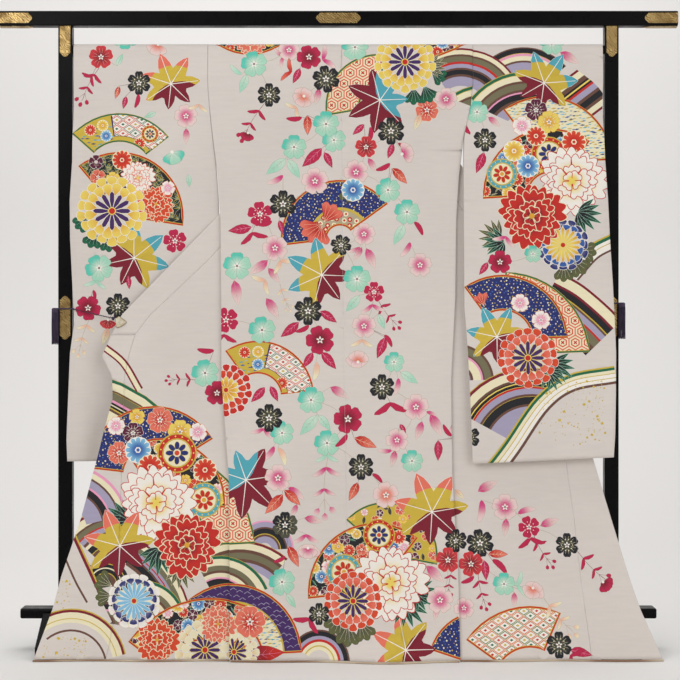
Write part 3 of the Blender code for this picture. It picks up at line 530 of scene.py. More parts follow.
class Dyework:
    """Polygons dyed one over the other, in metres in the cloth's flat plane.

    Each runs from its ink at reach[0] metres from its centre to its tip colour at reach[1]. The state
    "panels" says on which panels the next ones lie, and "inside" the earlier polygon that clips them."""

    def __init__(self):
        self.ground = np.array((*dye("ground"), 1.0))
        self.rings = []
        self.facts = []
        self.clips = []
        self.groups = []
        self.panels = ""
        self.inside = -1

    def lay(self, ring, ink, tip=None, centre=(0.0, 0.0), reach=(0.0, 1.0), gilt=0.0):
        """Lays one polygon and returns its number."""
        ring = np.asarray(ring, float)
        self.rings.append(ring if signed_area(ring) > 0.0 else ring[::-1])
        self.facts.append((*dye(ink), *dye(tip or ink), *centre, *reach, gilt))
        self.clips.append(self.inside)
        self.groups.append(self.panels)
        return len(self.rings) - 1

    def on(self, panels):
        """The same work, on other panels."""
        self.panels = panels
        return self

    def edged(self, ring, line, width, ink, tip=None, centre=(0.0, 0.0), reach=(0.0, 1.0)):
        """Lays a ring in the dye of its outline, then drawn in by the line's width in its own."""
        self.lay(ring, line, gilt=gilding(line))
        return self.lay(drawn_in(np.asarray(ring, float), width), ink, tip, centre, reach)

    def stroke(self, start, end, width, ink):
        """Lays a thin line that narrows to half its width."""
        start, end = np.asarray(start), np.asarray(end)
        along = (end - start) / max(float(np.linalg.norm(end - start)), 1.0e-9)
        side = 0.5 * width * np.array((-along[1], along[0]))
        return self.lay((start + side, start - side, end - 0.5 * side, end + 0.5 * side), ink)

    def copy(self, letters, change):
        """Lays what lies on some panels again on others, by letter, its points changed."""
        place = {}
        for number in range(len(self.rings)):
            panels = "".join(letters[letter] for letter in self.groups[number] if letter in letters)
            if not panels or np.ptp(self.rings[number], axis=0).max() < SMALLEST_COPY:
                continue
            place[number] = len(self.rings)
            fact = self.facts[number]
            centre = change(np.array([fact[CENTRE]]))[0]
            self.rings.append(change(self.rings[number]))
            self.facts.append((*fact[INK], *fact[TIP], *centre, *fact[START:]))
            self.clips.append(place.get(self.clips[number], -1))
            self.groups.append(panels)

    def near(self, low, high, group):
        """Points and edges of the polygons that may reach a panel, and their numbers."""
        kept = [number for number, ring in enumerate(self.rings)
                if group in self.groups[number]
                and (ring.min(axis=0) < high).all() and (ring.max(axis=0) > low).all()]
        if not kept:
            return np.zeros((0, 2)), np.zeros((0, 2), int), np.zeros(0, int)
        lengths = np.array([len(self.rings[number]) for number in kept])
        first = np.repeat(np.cumsum(lengths) - lengths, lengths)
        index = np.arange(lengths.sum())
        after = np.where(index + 1 == first + np.repeat(lengths, lengths), first, index + 1)
        points = np.concatenate([self.rings[number] for number in kept])
        return points, np.stack((index, after), axis=1), np.array(kept)

    def topmost(self, middles, kept):
        """The uppermost polygon over the middle of each triangle, counted from 1: 0 is bare cloth."""
        order = np.argsort(middles[:, 1])
        level = middles[order, 1]
        top = np.zeros(len(middles), int)
        for place, number in enumerate(kept, 1):
            ring, clip = self.rings[number], self.clips[number]
            low, high = ring.min(axis=0), ring.max(axis=0)
            found = order[np.searchsorted(level, low[1]):np.searchsorted(level, high[1])]
            found = found[(middles[found, 0] > low[0]) & (middles[found, 0] < high[0])]
            found = found[inside_ring(middles[found], ring)]
            if clip >= 0:
                found = found[inside_ring(middles[found], self.rings[clip])]
            top[found] = place
        return top

    def colours(self, corners, top, kept):
        """Colour and gilding at each triangle's corners: ink to tip, eased over the reach."""
        bare = np.array([(*self.ground[:3], *self.ground[:3], 0.0, 0.0, 0.0, 1.0, 0.0)])
        facts = np.concatenate((bare, np.array(self.facts)[kept])) if len(kept) else bare
        fact = facts[top][:, None, :]
        far = np.linalg.norm(corners - fact[..., CENTRE], axis=-1)
        run = np.maximum(fact[..., END] - fact[..., START], 1.0e-6)
        share = smooth((far - fact[..., START]) / run)[..., None]
        dyed = fact[..., INK] * (1.0 - share) + fact[..., TIP] * share
        opaque = np.ones((*dyed.shape[:2], 1))
        return np.concatenate((dyed, opaque), axis=-1), np.broadcast_to(fact[..., GILT], far.shape)


# Outlines of motifs: sizes in metres, turns in degrees anticlockwise from upright

def polar(centre, radius, angle):
    """Points at a radius and an angle in degrees from +x round a centre."""
    angle = np.radians(angle)
    return np.asarray(centre) + np.stack((radius * np.cos(angle), radius * np.sin(angle)), axis=-1)


def disc(centre, radius, count=10):
    """A regular polygon close to a circle."""
    return polar(centre, radius, np.linspace(0.0, 360.0, count, endpoint=False))


def placed(ring, at, turn):
    """A ring turned round the origin and moved."""
    angle = math.radians(turn)
    across = np.array((math.cos(angle), math.sin(angle)))
    upward = np.array((-math.sin(angle), math.cos(angle)))
    return np.asarray(at) + ring[:, :1] * across + ring[:, 1:] * upward


def petal(length, width, lead=0.62, notch=0.0, bend=0.0, count=12, root=0.0):
    """Round petal: height by a power of the turn's half cosine, width by its sine, bent by the square.

    The root is the share of the length where it starts."""
    angle = np.linspace(0.0, 2.0 * math.pi, count, endpoint=False)
    along = (0.5 - 0.5 * np.cos(angle)) ** lead
    along[count // 2] -= notch
    height = length * (root + (1.0 - root) * along)
    return np.stack((0.5 * width * np.sin(angle) + bend * length * along ** 2, height), axis=1)


def blade(length, width, bend=0.0, steps=5):
    """Pointed leaf: its half width is the sine of the share of its length to the power 0.8."""
    share = np.linspace(0.0, 1.0, steps + 1)
    half = 0.5 * width * np.sin(math.pi * share ** 0.8)
    middle = bend * length * share ** 2
    right = np.stack((middle + half, length * share), axis=1)
    left = np.stack((middle - half, length * share), axis=1)[-2:0:-1]
    return np.concatenate((right, left))


def scallop(length, spread, lobes=3, root=0.0):
    """Broad petal: part of a ring whose outer edge swells in half sines."""
    share = np.linspace(0.0, 1.0, 4 * lobes + 1)
    swell = 0.84 + 0.16 * np.abs(np.sin(math.pi * lobes * share)) + 0.05 * np.sin(math.pi * share)
    edge = polar((0.0, 0.0), length * swell, 90.0 - spread + 2.0 * spread * share)
    turns = 90.0 + spread * np.array((0.9, 0.0, -0.9))
    foot = polar((0.0, 0.0), root * length, turns) if root else [(0.0, 0.0)]
    return np.concatenate((foot, edge))


def star_of(size, ways, reach, lobe, step=9.0):
    """Lobed leaf: each lobe is the lens of two circles through the base, L sin(a - d) / sin a."""
    angle = np.union1d(np.arange(-180.0, 180.0, step), ways)
    off = np.abs(angle[:, None] - ways[None, :])
    off = np.minimum(off, 360.0 - off)
    lens = reach * np.sin(np.radians(np.maximum(lobe - off, 0.0))) / math.sin(math.radians(lobe))
    return polar((0.0, 0.0), size * np.maximum(lens.max(axis=1), 0.10), 90.0 + angle)


def curve(points, steps=6):
    """Smooth line through points: cubics, whose slope is half the step between a point's neighbours."""
    points = np.asarray(points, float)
    slope = np.gradient(points, axis=0)
    t = np.linspace(0.0, 1.0, steps, endpoint=False)[None, :, None]
    start, end, leaving, arriving = points[:-1, None], points[1:, None], slope[:-1, None], slope[1:, None]
    line = (2 * t ** 3 - 3 * t ** 2 + 1) * start + (t ** 3 - 2 * t ** 2 + t) * leaving
    line = line + (3 * t ** 2 - 2 * t ** 3) * end + (t ** 3 - t ** 2) * arriving
    return np.concatenate((line.reshape(-1, points.shape[1]), points[-1:]))


def beside(path, offset):
    """A line beside a path: each point moved square to it, to the left."""
    along = np.gradient(path, axis=0)
    along = along / np.linalg.norm(along, axis=1, keepdims=True)
    return path + np.reshape(offset, (-1, 1)) * np.stack((-along[:, 1], along[:, 0]), axis=1)


def ribbon(path, width):
    """A band along a path, which narrows to half its width."""
    half = 0.5 * width * np.linspace(1.0, 0.5, len(path))
    return np.concatenate((beside(path, -half), beside(path, half)[::-1]))


def circle_through(first, second, third):
    """Centre and radius of the circle through three points, where the middle lines of two chords meet."""
    a, b, c = (np.asarray(point) for point in (first, second, third))
    chords = np.array((b - a, c - a))
    centre = np.linalg.solve(chords, 0.5 * np.array((b @ b - a @ a, c @ c - a @ a)))
    return centre, float(np.linalg.norm(a - centre))


# Flowers and leaves

BLOSSOM_LOOKS = {
    # heart, petals, first two petals, outline, veins, ring of dots, petals, width of a petal
    "crimson": ("dark_red", "crimson", "crimson", "dark_red", "dark_red", "", 5, 0.86),
    "ringed": ("crimson", "crimson", "crimson", "blush", "dark_red", "ivory", 5, 0.84),
    "coral": ("dark_red", "rose", "rose", "vermilion", "peach", "", 5, 0.84),
    "black": ("charcoal", "black", "black", "black", "cream", "cream", 6, 0.66),
    "smoke": ("black", "charcoal", "black", "black", "cream", "cream", 6, 0.74),
    "mint": ("pale_mint", "mint", "sea", "sage", "sage", "", 5, 0.90),
    "teal": ("pale_mint", "mint", "sea", "sage", "sage", "", 5, 0.90),
    "pink": ("magenta", "blush", "blush", "tan", "pink", "", 5, 0.90),
    "pale": ("coral", "blush", "blush", "tan", "peach", "", 5, 0.90),
    "white_plum": ("pink", "ivory", "ivory", "coral", "pink", "coral", 5, 0.96),
    "yellow_plum": ("amber", "yellow", "yellow", "amber", "cream", "ivory", 5, 0.96),
    "dark_plum": ("plum", "plum", "plum", "ivory", "ivory", "cream", 5, 0.92),
    "coral_plum": ("red", "coral", "coral", "cream", "ivory", "cream", 5, 0.96),
    "orange_plum": ("red", "vermilion", "coral", "cream", "yellow", "yellow", 5, 0.96),
}
LARGE_BLOSSOM = 0.022


def blossom(work, at, size, turn, kind):
    """Flower of notched petals that run from heart to tip, with veins, a ring of dots and a pale star."""
    heart, skin, first, line, vein, dots, count, width = BLOSSOM_LOOKS[kind]
    large = size > LARGE_BLOSSOM
    for number in range(count):
        way = turn + 360.0 / count * number
        outline = petal(size, width * size, 0.52, notch=0.07, count=10 if large else 6)
        ink = first if number < 2 else skin
        work.edged(placed(outline, at, way), line, 0.0008, heart, ink, at, (0.20 * size, 0.75 * size))
        for lean in (-12.0, 12.0) if large else ():
            place = 90.0 + way + lean
            work.stroke(polar(at, 0.34 * size, place), polar(at, 0.72 * size, place), 0.0007, vein)
    if dots:
        for way in np.arange(0.0, 360.0, 36.0 if large else 60.0):
            work.lay(disc(polar(at, 0.45 * size, way), 0.05 * size, 4), dots)
    work.lay(star_of(0.27 * size, 72.0 * np.arange(5.0) - 144.0, np.ones(5), 50.0, 18.0) + at, "ivory")
    work.lay(disc(at, 0.08 * size, 5), "plum")


LEAF_LOOKS = {
    # root, tip, outline, veins
    "crimson": ("crimson", "crimson", "dark_red", "pink"),
    "coral": ("red", "coral", "dark_red", "cream"),
    "dark": ("dark_red", "red", "dark_red", "pink"),
    "mint": ("pale_mint", "mint", "sage", "sage"),
    "pink": ("magenta", "blush", "tan", "tan"),
    "pale": ("peach", "cream", "tan", "tan"),
    "olive": ("charcoal", "olive", "black", "cream"),
    "green": ("black", "forest", "black", "mint"),
    "ink": ("black", "black", "tan", "moss"),
}


def leaf(work, at, size, turn, kind):
    """Pointed leaf from its root outwards, with a middle vein and three pairs of side veins."""
    root, tip, line, vein = LEAF_LOOKS[kind]
    ring = placed(blade(size, 0.42 * size, 0.08), at, turn)
    work.edged(ring, line, 0.0006, root, tip, at, (0.15 * size, 0.8 * size))
    spine = placed(np.array(((0.0, 0.0), (0.03 * size, 0.5 * size), (0.07 * size, 0.9 * size))), at, turn)
    work.stroke(spine[0], spine[2], 0.0008, vein)
    for share in (0.25, 0.45, 0.65):
        start = spine[0] + share * (spine[2] - spine[0])
        for side in (-38.0, 38.0):
            work.stroke(start, polar(start, 0.17 * size, 90.0 + turn + side), 0.0005, vein)


def round_leaf(work, at, size, turn, kind):
    """Blunt lobed leaf under a big flower, with spread veins."""
    root, tip, line, vein = LEAF_LOOKS[kind]
    ring = placed(scallop(size, 42.0, 3), at, turn)
    work.edged(ring, line, 0.0007, root, tip, at, (0.3 * size, size))
    for lean in (-26.0, -9.0, 9.0, 26.0):
        work.stroke(at, polar(at, 0.82 * size, 90.0 + turn + lean), 0.0007, vein)


def tuft(work, at, size, turn, kind):
    """Fan of seven narrow leaves."""
    root, tip, _, vein = LEAF_LOOKS[kind]
    for lean in (-66.0, 66.0, -44.0, 44.0, -22.0, 22.0, 0.0):
        length = size * (1.0 - 0.003 * abs(lean))
        ring = placed(blade(length, 0.24 * size), at, turn + lean)
        work.edged(ring, vein, 0.0007, root, tip, at, (0.3 * size, size))
        way = 90.0 + turn + lean
        work.stroke(polar(at, 0.3 * size, way), polar(at, 0.85 * length, way), 0.0007, vein)


CURL_LOOKS = {
    # root, tip, outline
    "crimson": ("crimson", "crimson", "dark_red"), "pink": ("magenta", "blush", "tan"),
    "mint": ("mint", "pale_mint", "sage"), "pale": ("peach", "cream", "tan"),
    "coral": ("red", "coral", "dark_red"),
}


def curls(work, at, size, turn, kind):
    """Pair of curled petals."""
    ink, tip, line = CURL_LOOKS[kind]
    for side in (-1.0, 1.0):
        ring = placed(petal(size, 0.38 * size, 0.9, bend=-0.42 * side, count=8), at, turn + 34.0 * side)
        work.edged(ring, line, 0.0005, ink, tip, at, (0.2 * size, 0.9 * size))


def curl(work, at, size, turn, kind):
    """One curled petal."""
    ink, tip, line = CURL_LOOKS[kind]
    ring = placed(petal(size, 0.38 * size, 0.9, bend=0.40), at, turn)
    work.edged(ring, line, 0.0005, ink, tip, at, (0.2 * size, 0.9 * size))


def spray(work, at, size, turn, kind):
    """Hanging spray: a bent stem, two pairs of curled petals and three buds at its end."""
    ink, tip, line = CURL_LOOKS[kind]
    share = np.linspace(0.0, 1.0, 6)
    stem = placed(np.stack((0.10 * size * np.sin(2.2 * share), size * share), axis=1), at, turn)
    work.lay(ribbon(stem, 0.0011), line)
    for number, small in ((1, 0.30), (3, 0.24)):
        curls(work, stem[number], small * size, turn, kind)
    for side, reach in ((-32.0, 0.20), (0.0, 0.26), (34.0, 0.18)):
        end = polar(stem[4], reach * size, 90.0 + turn + side)
        work.stroke(stem[4], end, 0.0008, line)
        bud = placed(petal(0.15 * size, 0.12 * size, 0.8, count=6), end, turn + side)
        work.edged(bud, line, 0.0004, ink, tip, end, (0.0, 0.15 * size))


def half_bloom(work, at, size, turn, kind):
    """Flower seen from its side: three petals over a small cup."""
    heart, skin, first, line, vein, *_, width = BLOSSOM_LOOKS[kind]
    for side in (-44.0, 44.0, 0.0):
        ring = placed(petal(size, width * size, 0.52, notch=0.06, count=10), at, turn + side)
        work.edged(ring, line, 0.0008, heart, first if side else skin, at, (0.15 * size, 0.8 * size))
        for lean in (-8.0, 8.0):
            place = 90.0 + turn + side + lean
            work.stroke(polar(at, 0.25 * size, place), polar(at, 0.78 * size, place), 0.0006, vein)
    work.lay(disc(at, 0.14 * size, 6), "ivory")


CHRYSANTHEMUM_LOOKS = {
    # rows from the outside: reach, petals, width, ink, tip, outline
    "gold": ((1.0, 18, 0.32, "amber", "yellow", "ivory"), (0.80, 16, 0.31, "amber", "yellow", "ivory"),
             (0.56, 12, 0.17, "purple", "purple", "cream")),
    "flame": ((1.0, 18, 0.32, "red", "vermilion", "ivory"), (0.80, 16, 0.31, "vermilion", "coral", "ivory"),
              (0.56, 12, 0.17, "purple", "purple", "yellow")),
    "ember": ((1.0, 18, 0.32, "red", "red", "ivory"), (0.78, 15, 0.30, "red", "vermilion", "ivory"),
              (0.52, 12, 0.22, "amber", "yellow", "ivory")),
    "blue": ((1.0, 16, 0.36, "lilac", "navy", "ivory"), (0.84, 15, 0.33, "navy", "blue", "ivory"),
             (0.70, 18, 0.16, "yellow", "amber", "cream")),
    "ice": ((1.0, 16, 0.36, "lilac", "ivory", "ivory"), (0.86, 15, 0.34, "lilac", "navy", "ivory"),
            (0.72, 18, 0.17, "sky", "sky", "ivory")),
    "cream": ((1.0, 18, 0.32, "amber", "cream", "ivory"), (0.78, 15, 0.31, "cream", "cream", "ivory"),
              (0.54, 12, 0.16, "purple", "purple", "yellow")),
}


def chrysanthemum(work, at, size, turn, kind):
    """Rows of spoon petals, each rooted under the next row and turned half a step, and a red eye."""
    rows = CHRYSANTHEMUM_LOOKS[kind]
    for row, (reach, count, width, ink, tip, line) in enumerate(rows):
        within = rows[row + 1][0] if row + 1 < len(rows) else 0.0
        root = max(0.0, within - 0.14) / reach
        for number in range(count):
            way = turn + 360.0 / count * (number + 0.5 * row)
            length = reach * size * (1.0 + 0.03 * math.sin(3.0 * number))
            ring = placed(petal(length, width * size, 0.50, count=6 if row else 8, root=root), at, way)
            work.edged(ring, line, min(0.0011, 0.02 * size), ink, tip, at, (0.5 * length, 0.95 * length))
    work.lay(disc(at, 0.12 * size, 8), "yellow")
    work.lay(disc(at, 0.09 * size, 8), "red")


DAISY_LOOKS = {
    # root, tip, outline
    "small_red": ("red", "vermilion", "cream"), "small_blue": ("blue", "sky", "ivory"),
    "small_gold": ("amber", "yellow", "ivory"),
}


def daisy(work, at, size, turn, kind):
    """Small chrysanthemum: twelve narrow petals on a pale disc, and an eye."""
    ink, tip, line = DAISY_LOOKS[kind]
    work.lay(disc(at, size, 12), line)
    for way in np.arange(0.0, 360.0, 30.0):
        ring = placed(petal(0.96 * size, 0.36 * size, 0.5, count=6), at, turn + way)
        work.lay(ring, ink, tip, at, (0.2 * size, 0.9 * size))
    work.lay(disc(at, 0.24 * size, 6), line)
    work.lay(disc(at, 0.14 * size, 5), ink)


PEONY_LOOKS = {
    # outline, ink, tip, heart
    "white": ("red", "yellow", "ivory", "yellow"),
    "red": ("cream", "dark_red", "red", "amber"),
    "orange": ("cream", "red", "vermilion", "amber"),
    "coral": ("cream", "vermilion", "coral", "amber"),
    "ivory": ("coral", "peach", "ivory", "yellow"),
}
PEONY_ROWS = (
    # reach, petals, half spread in degrees, lobes, root
    (1.00, 8, 29.0, 3, 0.50), (0.76, 7, 31.0, 3, 0.40), (0.53, 5, 40.0, 3, 0.25), (0.30, 4, 46.0, 2, 0.0),
)


def peony(work, at, size, turn, kind):
    """Four rows of scalloped petals, uneven in length, each outlined and rooted under the next row."""
    line, ink, tip, heart = PEONY_LOOKS[kind]
    work.lay(disc(at, 0.66 * size, 14), line)
    for row, (reach, count, spread, lobes, root) in enumerate(PEONY_ROWS):
        for number in range(count):
            way = turn + 360.0 / count * (number + 0.5 * row) + 7.0 * math.sin(5.0 * number + row)
            length = reach * size * (1.0 + 0.09 * math.sin(2.3 * number + row))
            ring = placed(scallop(length, spread, lobes, root), at, way)
            work.edged(ring, line, min(0.0021, 0.035 * size), ink, tip, at, (0.35 * length, 0.80 * length))
    work.lay(disc(at, 0.09 * size, 7), heart)
    for way in np.arange(0.0, 360.0, 60.0):
        work.stroke(at, polar(at, 0.17 * size, way), 0.0012, heart)


MAPLE_LOOKS = {
    # lobes, middle, foot
    "coral": ("coral", "gold", "dark_red"), "teal": ("teal", "gold", "dark_red"),
    "wine": ("dark_red", "dark_red", "teal"),
}


def maple(work, at, size, turn, kind):
    """Seven lobes round a base in three zones, the middle one gilt, with pale veins."""
    lobes, middle, foot = MAPLE_LOOKS[kind]
    ways = np.array((-154.0, -103.0, -52.0, 0.0, 52.0, 103.0, 154.0))
    reach = np.array((0.80, 0.90, 0.98, 1.0, 0.95, 0.92, 0.78))
    ring = placed(star_of(size, ways, reach, 46.0), at, turn)
    work.inside = work.lay(ring, "ivory")
    work.lay(drawn_in(ring, 0.0006), lobes)
    below = turn - 90.0
    work.lay(disc(polar(at, 0.30 * size, below), 0.86 * size, 24), middle, gilt=gilding(middle, 0.85))
    work.lay(disc(polar(at, 0.95 * size, below), 0.98 * size, 24), foot)
    work.inside = -1
    for way, length in zip(ways, reach):
        work.stroke(at, polar(at, 0.92 * length * size, 90.0 + turn + way), 0.0024, "ivory")


ROSETTE_LOOKS = {
    # rings from the outside, then the rosette's petals and eye
    "red": (("gold", "red", "gold", "cream"), "navy", "vermilion"),
    "blue": (("gold", "teal", "gold", "cream"), "red", "amber"),
}


def rosette(work, at, size, turn, kind):
    """Round medal: rings, beads, and a plain eight-petalled rosette."""
    rings, ink, eye = ROSETTE_LOOKS[kind]
    for share, ring in zip((1.0, 0.93, 0.74, 0.67), rings):
        work.lay(disc(at, share * size, 20), ring, gilt=gilding(ring))
    for way in np.arange(0.0, 360.0, 24.0):
        work.lay(disc(polar(at, 0.835 * size, way), 0.05 * size, 4), "yellow")
    for number in range(8):
        ring = placed(petal(0.58 * size, 0.26 * size, 0.6), at, turn + 45.0 * number)
        work.edged(ring, "gold", 0.0008, ink)
    work.lay(disc(at, 0.20 * size, 10), "cream")
    work.lay(disc(at, 0.13 * size, 8), eye)


# Fans and what fills them

def sector(centre, outer, inner, start, end):
    """Part of a ring between two radii and two angles."""
    count = max(2, round(abs(end - start) / 7.0))
    if inner <= 0.0:
        return np.concatenate((polar(centre, outer, np.linspace(start, end, count)), [centre]))
    return np.concatenate((polar(centre, outer, np.linspace(start, end, count)),
                           polar(centre, inner, np.linspace(end, start, count))))


# Distance of the rows of scattered places, and how far a place may move, as shares of the spacing
ROW_STEP = 0.87
JITTER = 0.66


def scatter(ring, spacing, draw):
    """Rows of places a spacing apart inside a ring, each moved at random by up to a third of it."""
    low, high = ring.min(axis=0), ring.max(axis=0)
    rows, columns = np.ceil((high - low)[::-1] / (ROW_STEP * spacing, spacing)).astype(int) + 1
    z, x = np.mgrid[0:rows, 0:columns].astype(float)
    places = np.stack((x + 0.5 * (z % 2), ROW_STEP * z), axis=-1).reshape(-1, 2)
    places = low + spacing * (places + JITTER * (draw.random(places.shape) - 0.5))
    return places[inside_ring(places, ring)]


def lattice(work, part, draw):
    """Diamonds within diamonds in rows."""
    step = np.array((0.032, 0.023))
    ring = part()
    low, high = ring.min(axis=0), ring.max(axis=0)
    diamond = np.array(((1.0, 0.0), (0.0, 1.0), (-1.0, 0.0), (0.0, -1.0))) * 0.46 * step
    for row, z in enumerate(np.arange(low[1], high[1] + step[1], 0.5 * step[1])):
        for column, x in enumerate(np.arange(low[0], high[0] + step[0], step[0])):
            at = (x + 0.5 * step[0] * (row % 2), z)
            if inside_ring(diamond + at, ring).any():
                work.edged(diamond + at, ("forest", "red", "vermilion")[(row + column) % 3], 0.0022, "ivory")
                work.lay(0.30 * diamond + at, ("red", "gold", "forest")[(row + 2 * column) % 3])


def kikko(work, part, draw):
    """Tortoiseshell: hexagons within hexagons, each with a small flower."""
    size = 0.0185
    corners = np.arange(30.0, 390.0, 60.0)
    ring = part()
    low, high = ring.min(axis=0), ring.max(axis=0)
    for row, z in enumerate(np.arange(low[1], high[1] + size, 1.5 * size)):
        for x in np.arange(low[0], high[0] + size, math.sqrt(3.0) * size):
            at = (x + 0.5 * math.sqrt(3.0) * size * (row % 2), z)
            if inside_ring(polar(at, 0.8 * size, corners), ring).any():
                for share, ink in ((0.90, "cream"), (0.67, "vermilion"), (0.49, "cream")):
                    work.lay(polar(at, share * size, corners), ink)
                star = star_of(0.32 * size, 90.0 * np.arange(4.0) - 135.0, np.ones(4), 60.0, 20.0)
                work.lay(star + at, "red")


def speckle(work, part, draw):
    """Gilt and pale specks, thick on a dark ground."""
    for number, at in enumerate(scatter(part(), 0.0088, draw)):
        ink = ("gold", "cream", "blue", "cream")[number % 4]
        work.lay(disc(at, 0.0012 + 0.0014 * draw.random(), 4), ink, gilt=gilding(ink))


def water(work, part, draw):
    """Short level strokes of blue among gilt ones."""
    for number, at in enumerate(scatter(part(), 0.0100, draw)):
        length = 0.008 + 0.008 * draw.random()
        ink = ("blue", "navy", "gold", "teal", "sky", "gold")[number % 6]
        lozenge = np.array(((0.5, 0.0), (0.0, 0.14), (-0.5, 0.0), (0.0, -0.14))) * length
        work.lay(placed(lozenge, at, 14.0 * draw.random()), ink, gilt=gilding(ink, 0.5))


def pine(work, part, draw):
    """Tufts of needles on a dark ground."""
    for at in scatter(part(), 0.019, draw):
        way = 180.0 * draw.random()
        for lean in range(-60, 61, 20):
            end = polar(at, 0.016, way + lean)
            work.stroke(at, end, 0.0015, ("sage", "gold", "forest", "tan")[abs(lean) // 20 % 4])


PLUM_KINDS = ("white_plum", "dark_plum", "yellow_plum", "coral_plum", "orange_plum")


def meadow(work, part, draw):
    """Plum blossoms, small chrysanthemums and leaves, crowded on a dark ground."""
    for number, at in enumerate(scatter(part(), 0.021, draw)):
        leaf(work, at, 0.020, 360.0 * draw.random(), ("green", "olive")[number % 2])
    for number, at in enumerate(scatter(part(), 0.029, draw)):
        size = 0.013 + 0.005 * draw.random()
        turn = 360.0 * draw.random()
        if number % 2:
            daisy(work, at, size, turn, ("small_red", "small_gold", "small_blue")[number // 2 % 3])
        else:
            blossom(work, at, size, turn, PLUM_KINDS[number // 2 % 5])


def plums(work, part, draw):
    """Plum blossoms and leaves, loosely strewn on a light ground."""
    for number, at in enumerate(scatter(part(), 0.026, draw)):
        size = 0.010 + 0.005 * draw.random()
        turn = 360.0 * draw.random()
        if number % 3 == 2:
            leaf(work, at, 1.6 * size, turn, "ink")
        else:
            blossom(work, at, size, turn, PLUM_KINDS[number % 5])


CLOUD_DAISIES = (
    # shares of the fan's turn and depth, kind
    (0.16, 0.30, "small_red"), (0.30, 0.34, "small_gold"),
    (0.30, 0.72, "small_blue"), (0.80, 0.86, "small_red"),
)


def clouds(work, part, draw):
    """Diamonds on one side and water on the other, parted by a purple line, with a few small daisies."""
    water(work, lambda: part(0.0, 0.46, 0.35, 1.0), draw)
    whole = work.inside
    work.lay(part(0.40, 1.0, 0.05, 0.80), "purple")
    work.inside = work.lay(part(0.415, 0.99, 0.06, 0.78), "ivory")
    lattice(work, lambda: part(0.40, 1.0, 0.05, 0.80), draw)
    work.inside = whole
    for across, deep, kind in CLOUD_DAISIES:
        daisy(work, part(across, across, deep, deep)[0], 0.015, 0.0, kind)


def brocade(work, part, draw):
    """Purple ground with pale zigzags above, gilt cloud and water below."""
    ring = part(0.0, 1.0, 0.0, 0.5)
    for at in scatter(ring, 0.017, draw):
        top = at + (0.008, 0.005)
        work.stroke(at, top, 0.0016, "lilac")
        work.stroke(top, at + (0.016, 0.0), 0.0016, "lilac")
    work.lay(part(0.0, 1.0, 0.42, 1.0), "gold", gilt=0.5)
    work.lay(part(0.45, 1.0, 0.46, 1.0), "cream")
    water(work, lambda: part(0.45, 1.0, 0.46, 1.0), draw)


def orchard(work, part, draw):
    """Specks above, gilt below, with a row of small red flowers."""
    speckle(work, lambda: part(0.0, 1.0, 0.0, 0.62), draw)
    work.lay(part(0.0, 1.0, 0.60, 1.0), "gold", gilt=0.5)
    work.lay(part(0.0, 1.0, 0.66, 1.0), "tan", gilt=0.2)
    for number, at in enumerate(scatter(part(0.0, 1.0, 0.66, 1.0), 0.017, draw)):
        work.lay(disc(at, 0.0066, 8), ("cream", "red")[number % 2])
        work.lay(disc(at, 0.0036, 4), ("red", "cream")[number % 2])


FILLINGS = {
    # ground and what lies on it
    "lattice": ("cream", lattice), "kikko": ("coral", kikko), "speckle": ("navy", speckle),
    "water": ("cream", water), "pine": ("black", pine), "meadow": ("black", meadow),
    "plums": ("gold", plums), "clouds": ("gold", clouds), "brocade": ("purple", brocade),
    "orchard": ("navy", orchard),
}


def arc_through(first, middle, last):
    """Centre, radius, first angle and turn of the arc that runs through three places."""
    centre, radius = circle_through(first, middle, last)
    spokes = (np.asarray(place) - centre for place in (first, middle, last))
    angles = [math.degrees(math.atan2(z, x)) for x, z in spokes]
    half, turn = (angles[1] - angles[0]) % 360.0, (angles[2] - angles[0]) % 360.0
    return centre, radius, angles[0], turn if half < turn else turn - 360.0


# How far the rim, the gilt line inside it and the filling lie within a fan's outline
RIM_INSET = 0.0008
LINE_INSET = 0.0044
FILLING_INSET = 0.0060


def fan(work, first, middle, last, depth, rim, filling):
    """Fan leaf: its rim arc runs through three places, its sides go a depth towards the arc's centre."""
    centre, radius, start, turn = arc_through(first, middle, last)

    def part(left=0.0, right=1.0, upper=0.0, lower=1.0):
        outer, inner = radius - upper * depth, radius - lower * depth
        return sector(centre, outer, inner, start + left * turn, start + right * turn)

    ring = part()
    ring = ring if signed_area(ring) > 0.0 else ring[::-1]
    ground, fill = FILLINGS[filling]
    work.lay(ring, "gold", gilt=gilding("gold"))
    work.lay(drawn_in(ring, RIM_INSET), rim)
    work.lay(drawn_in(ring, LINE_INSET), "gold", gilt=gilding("gold"))
    work.inside = work.lay(drawn_in(ring, FILLING_INSET), ground, gilt=gilding(ground, 0.5))
    fill(work, part, np.random.default_rng(round(1.0e4 * radius)))
    work.inside = -1


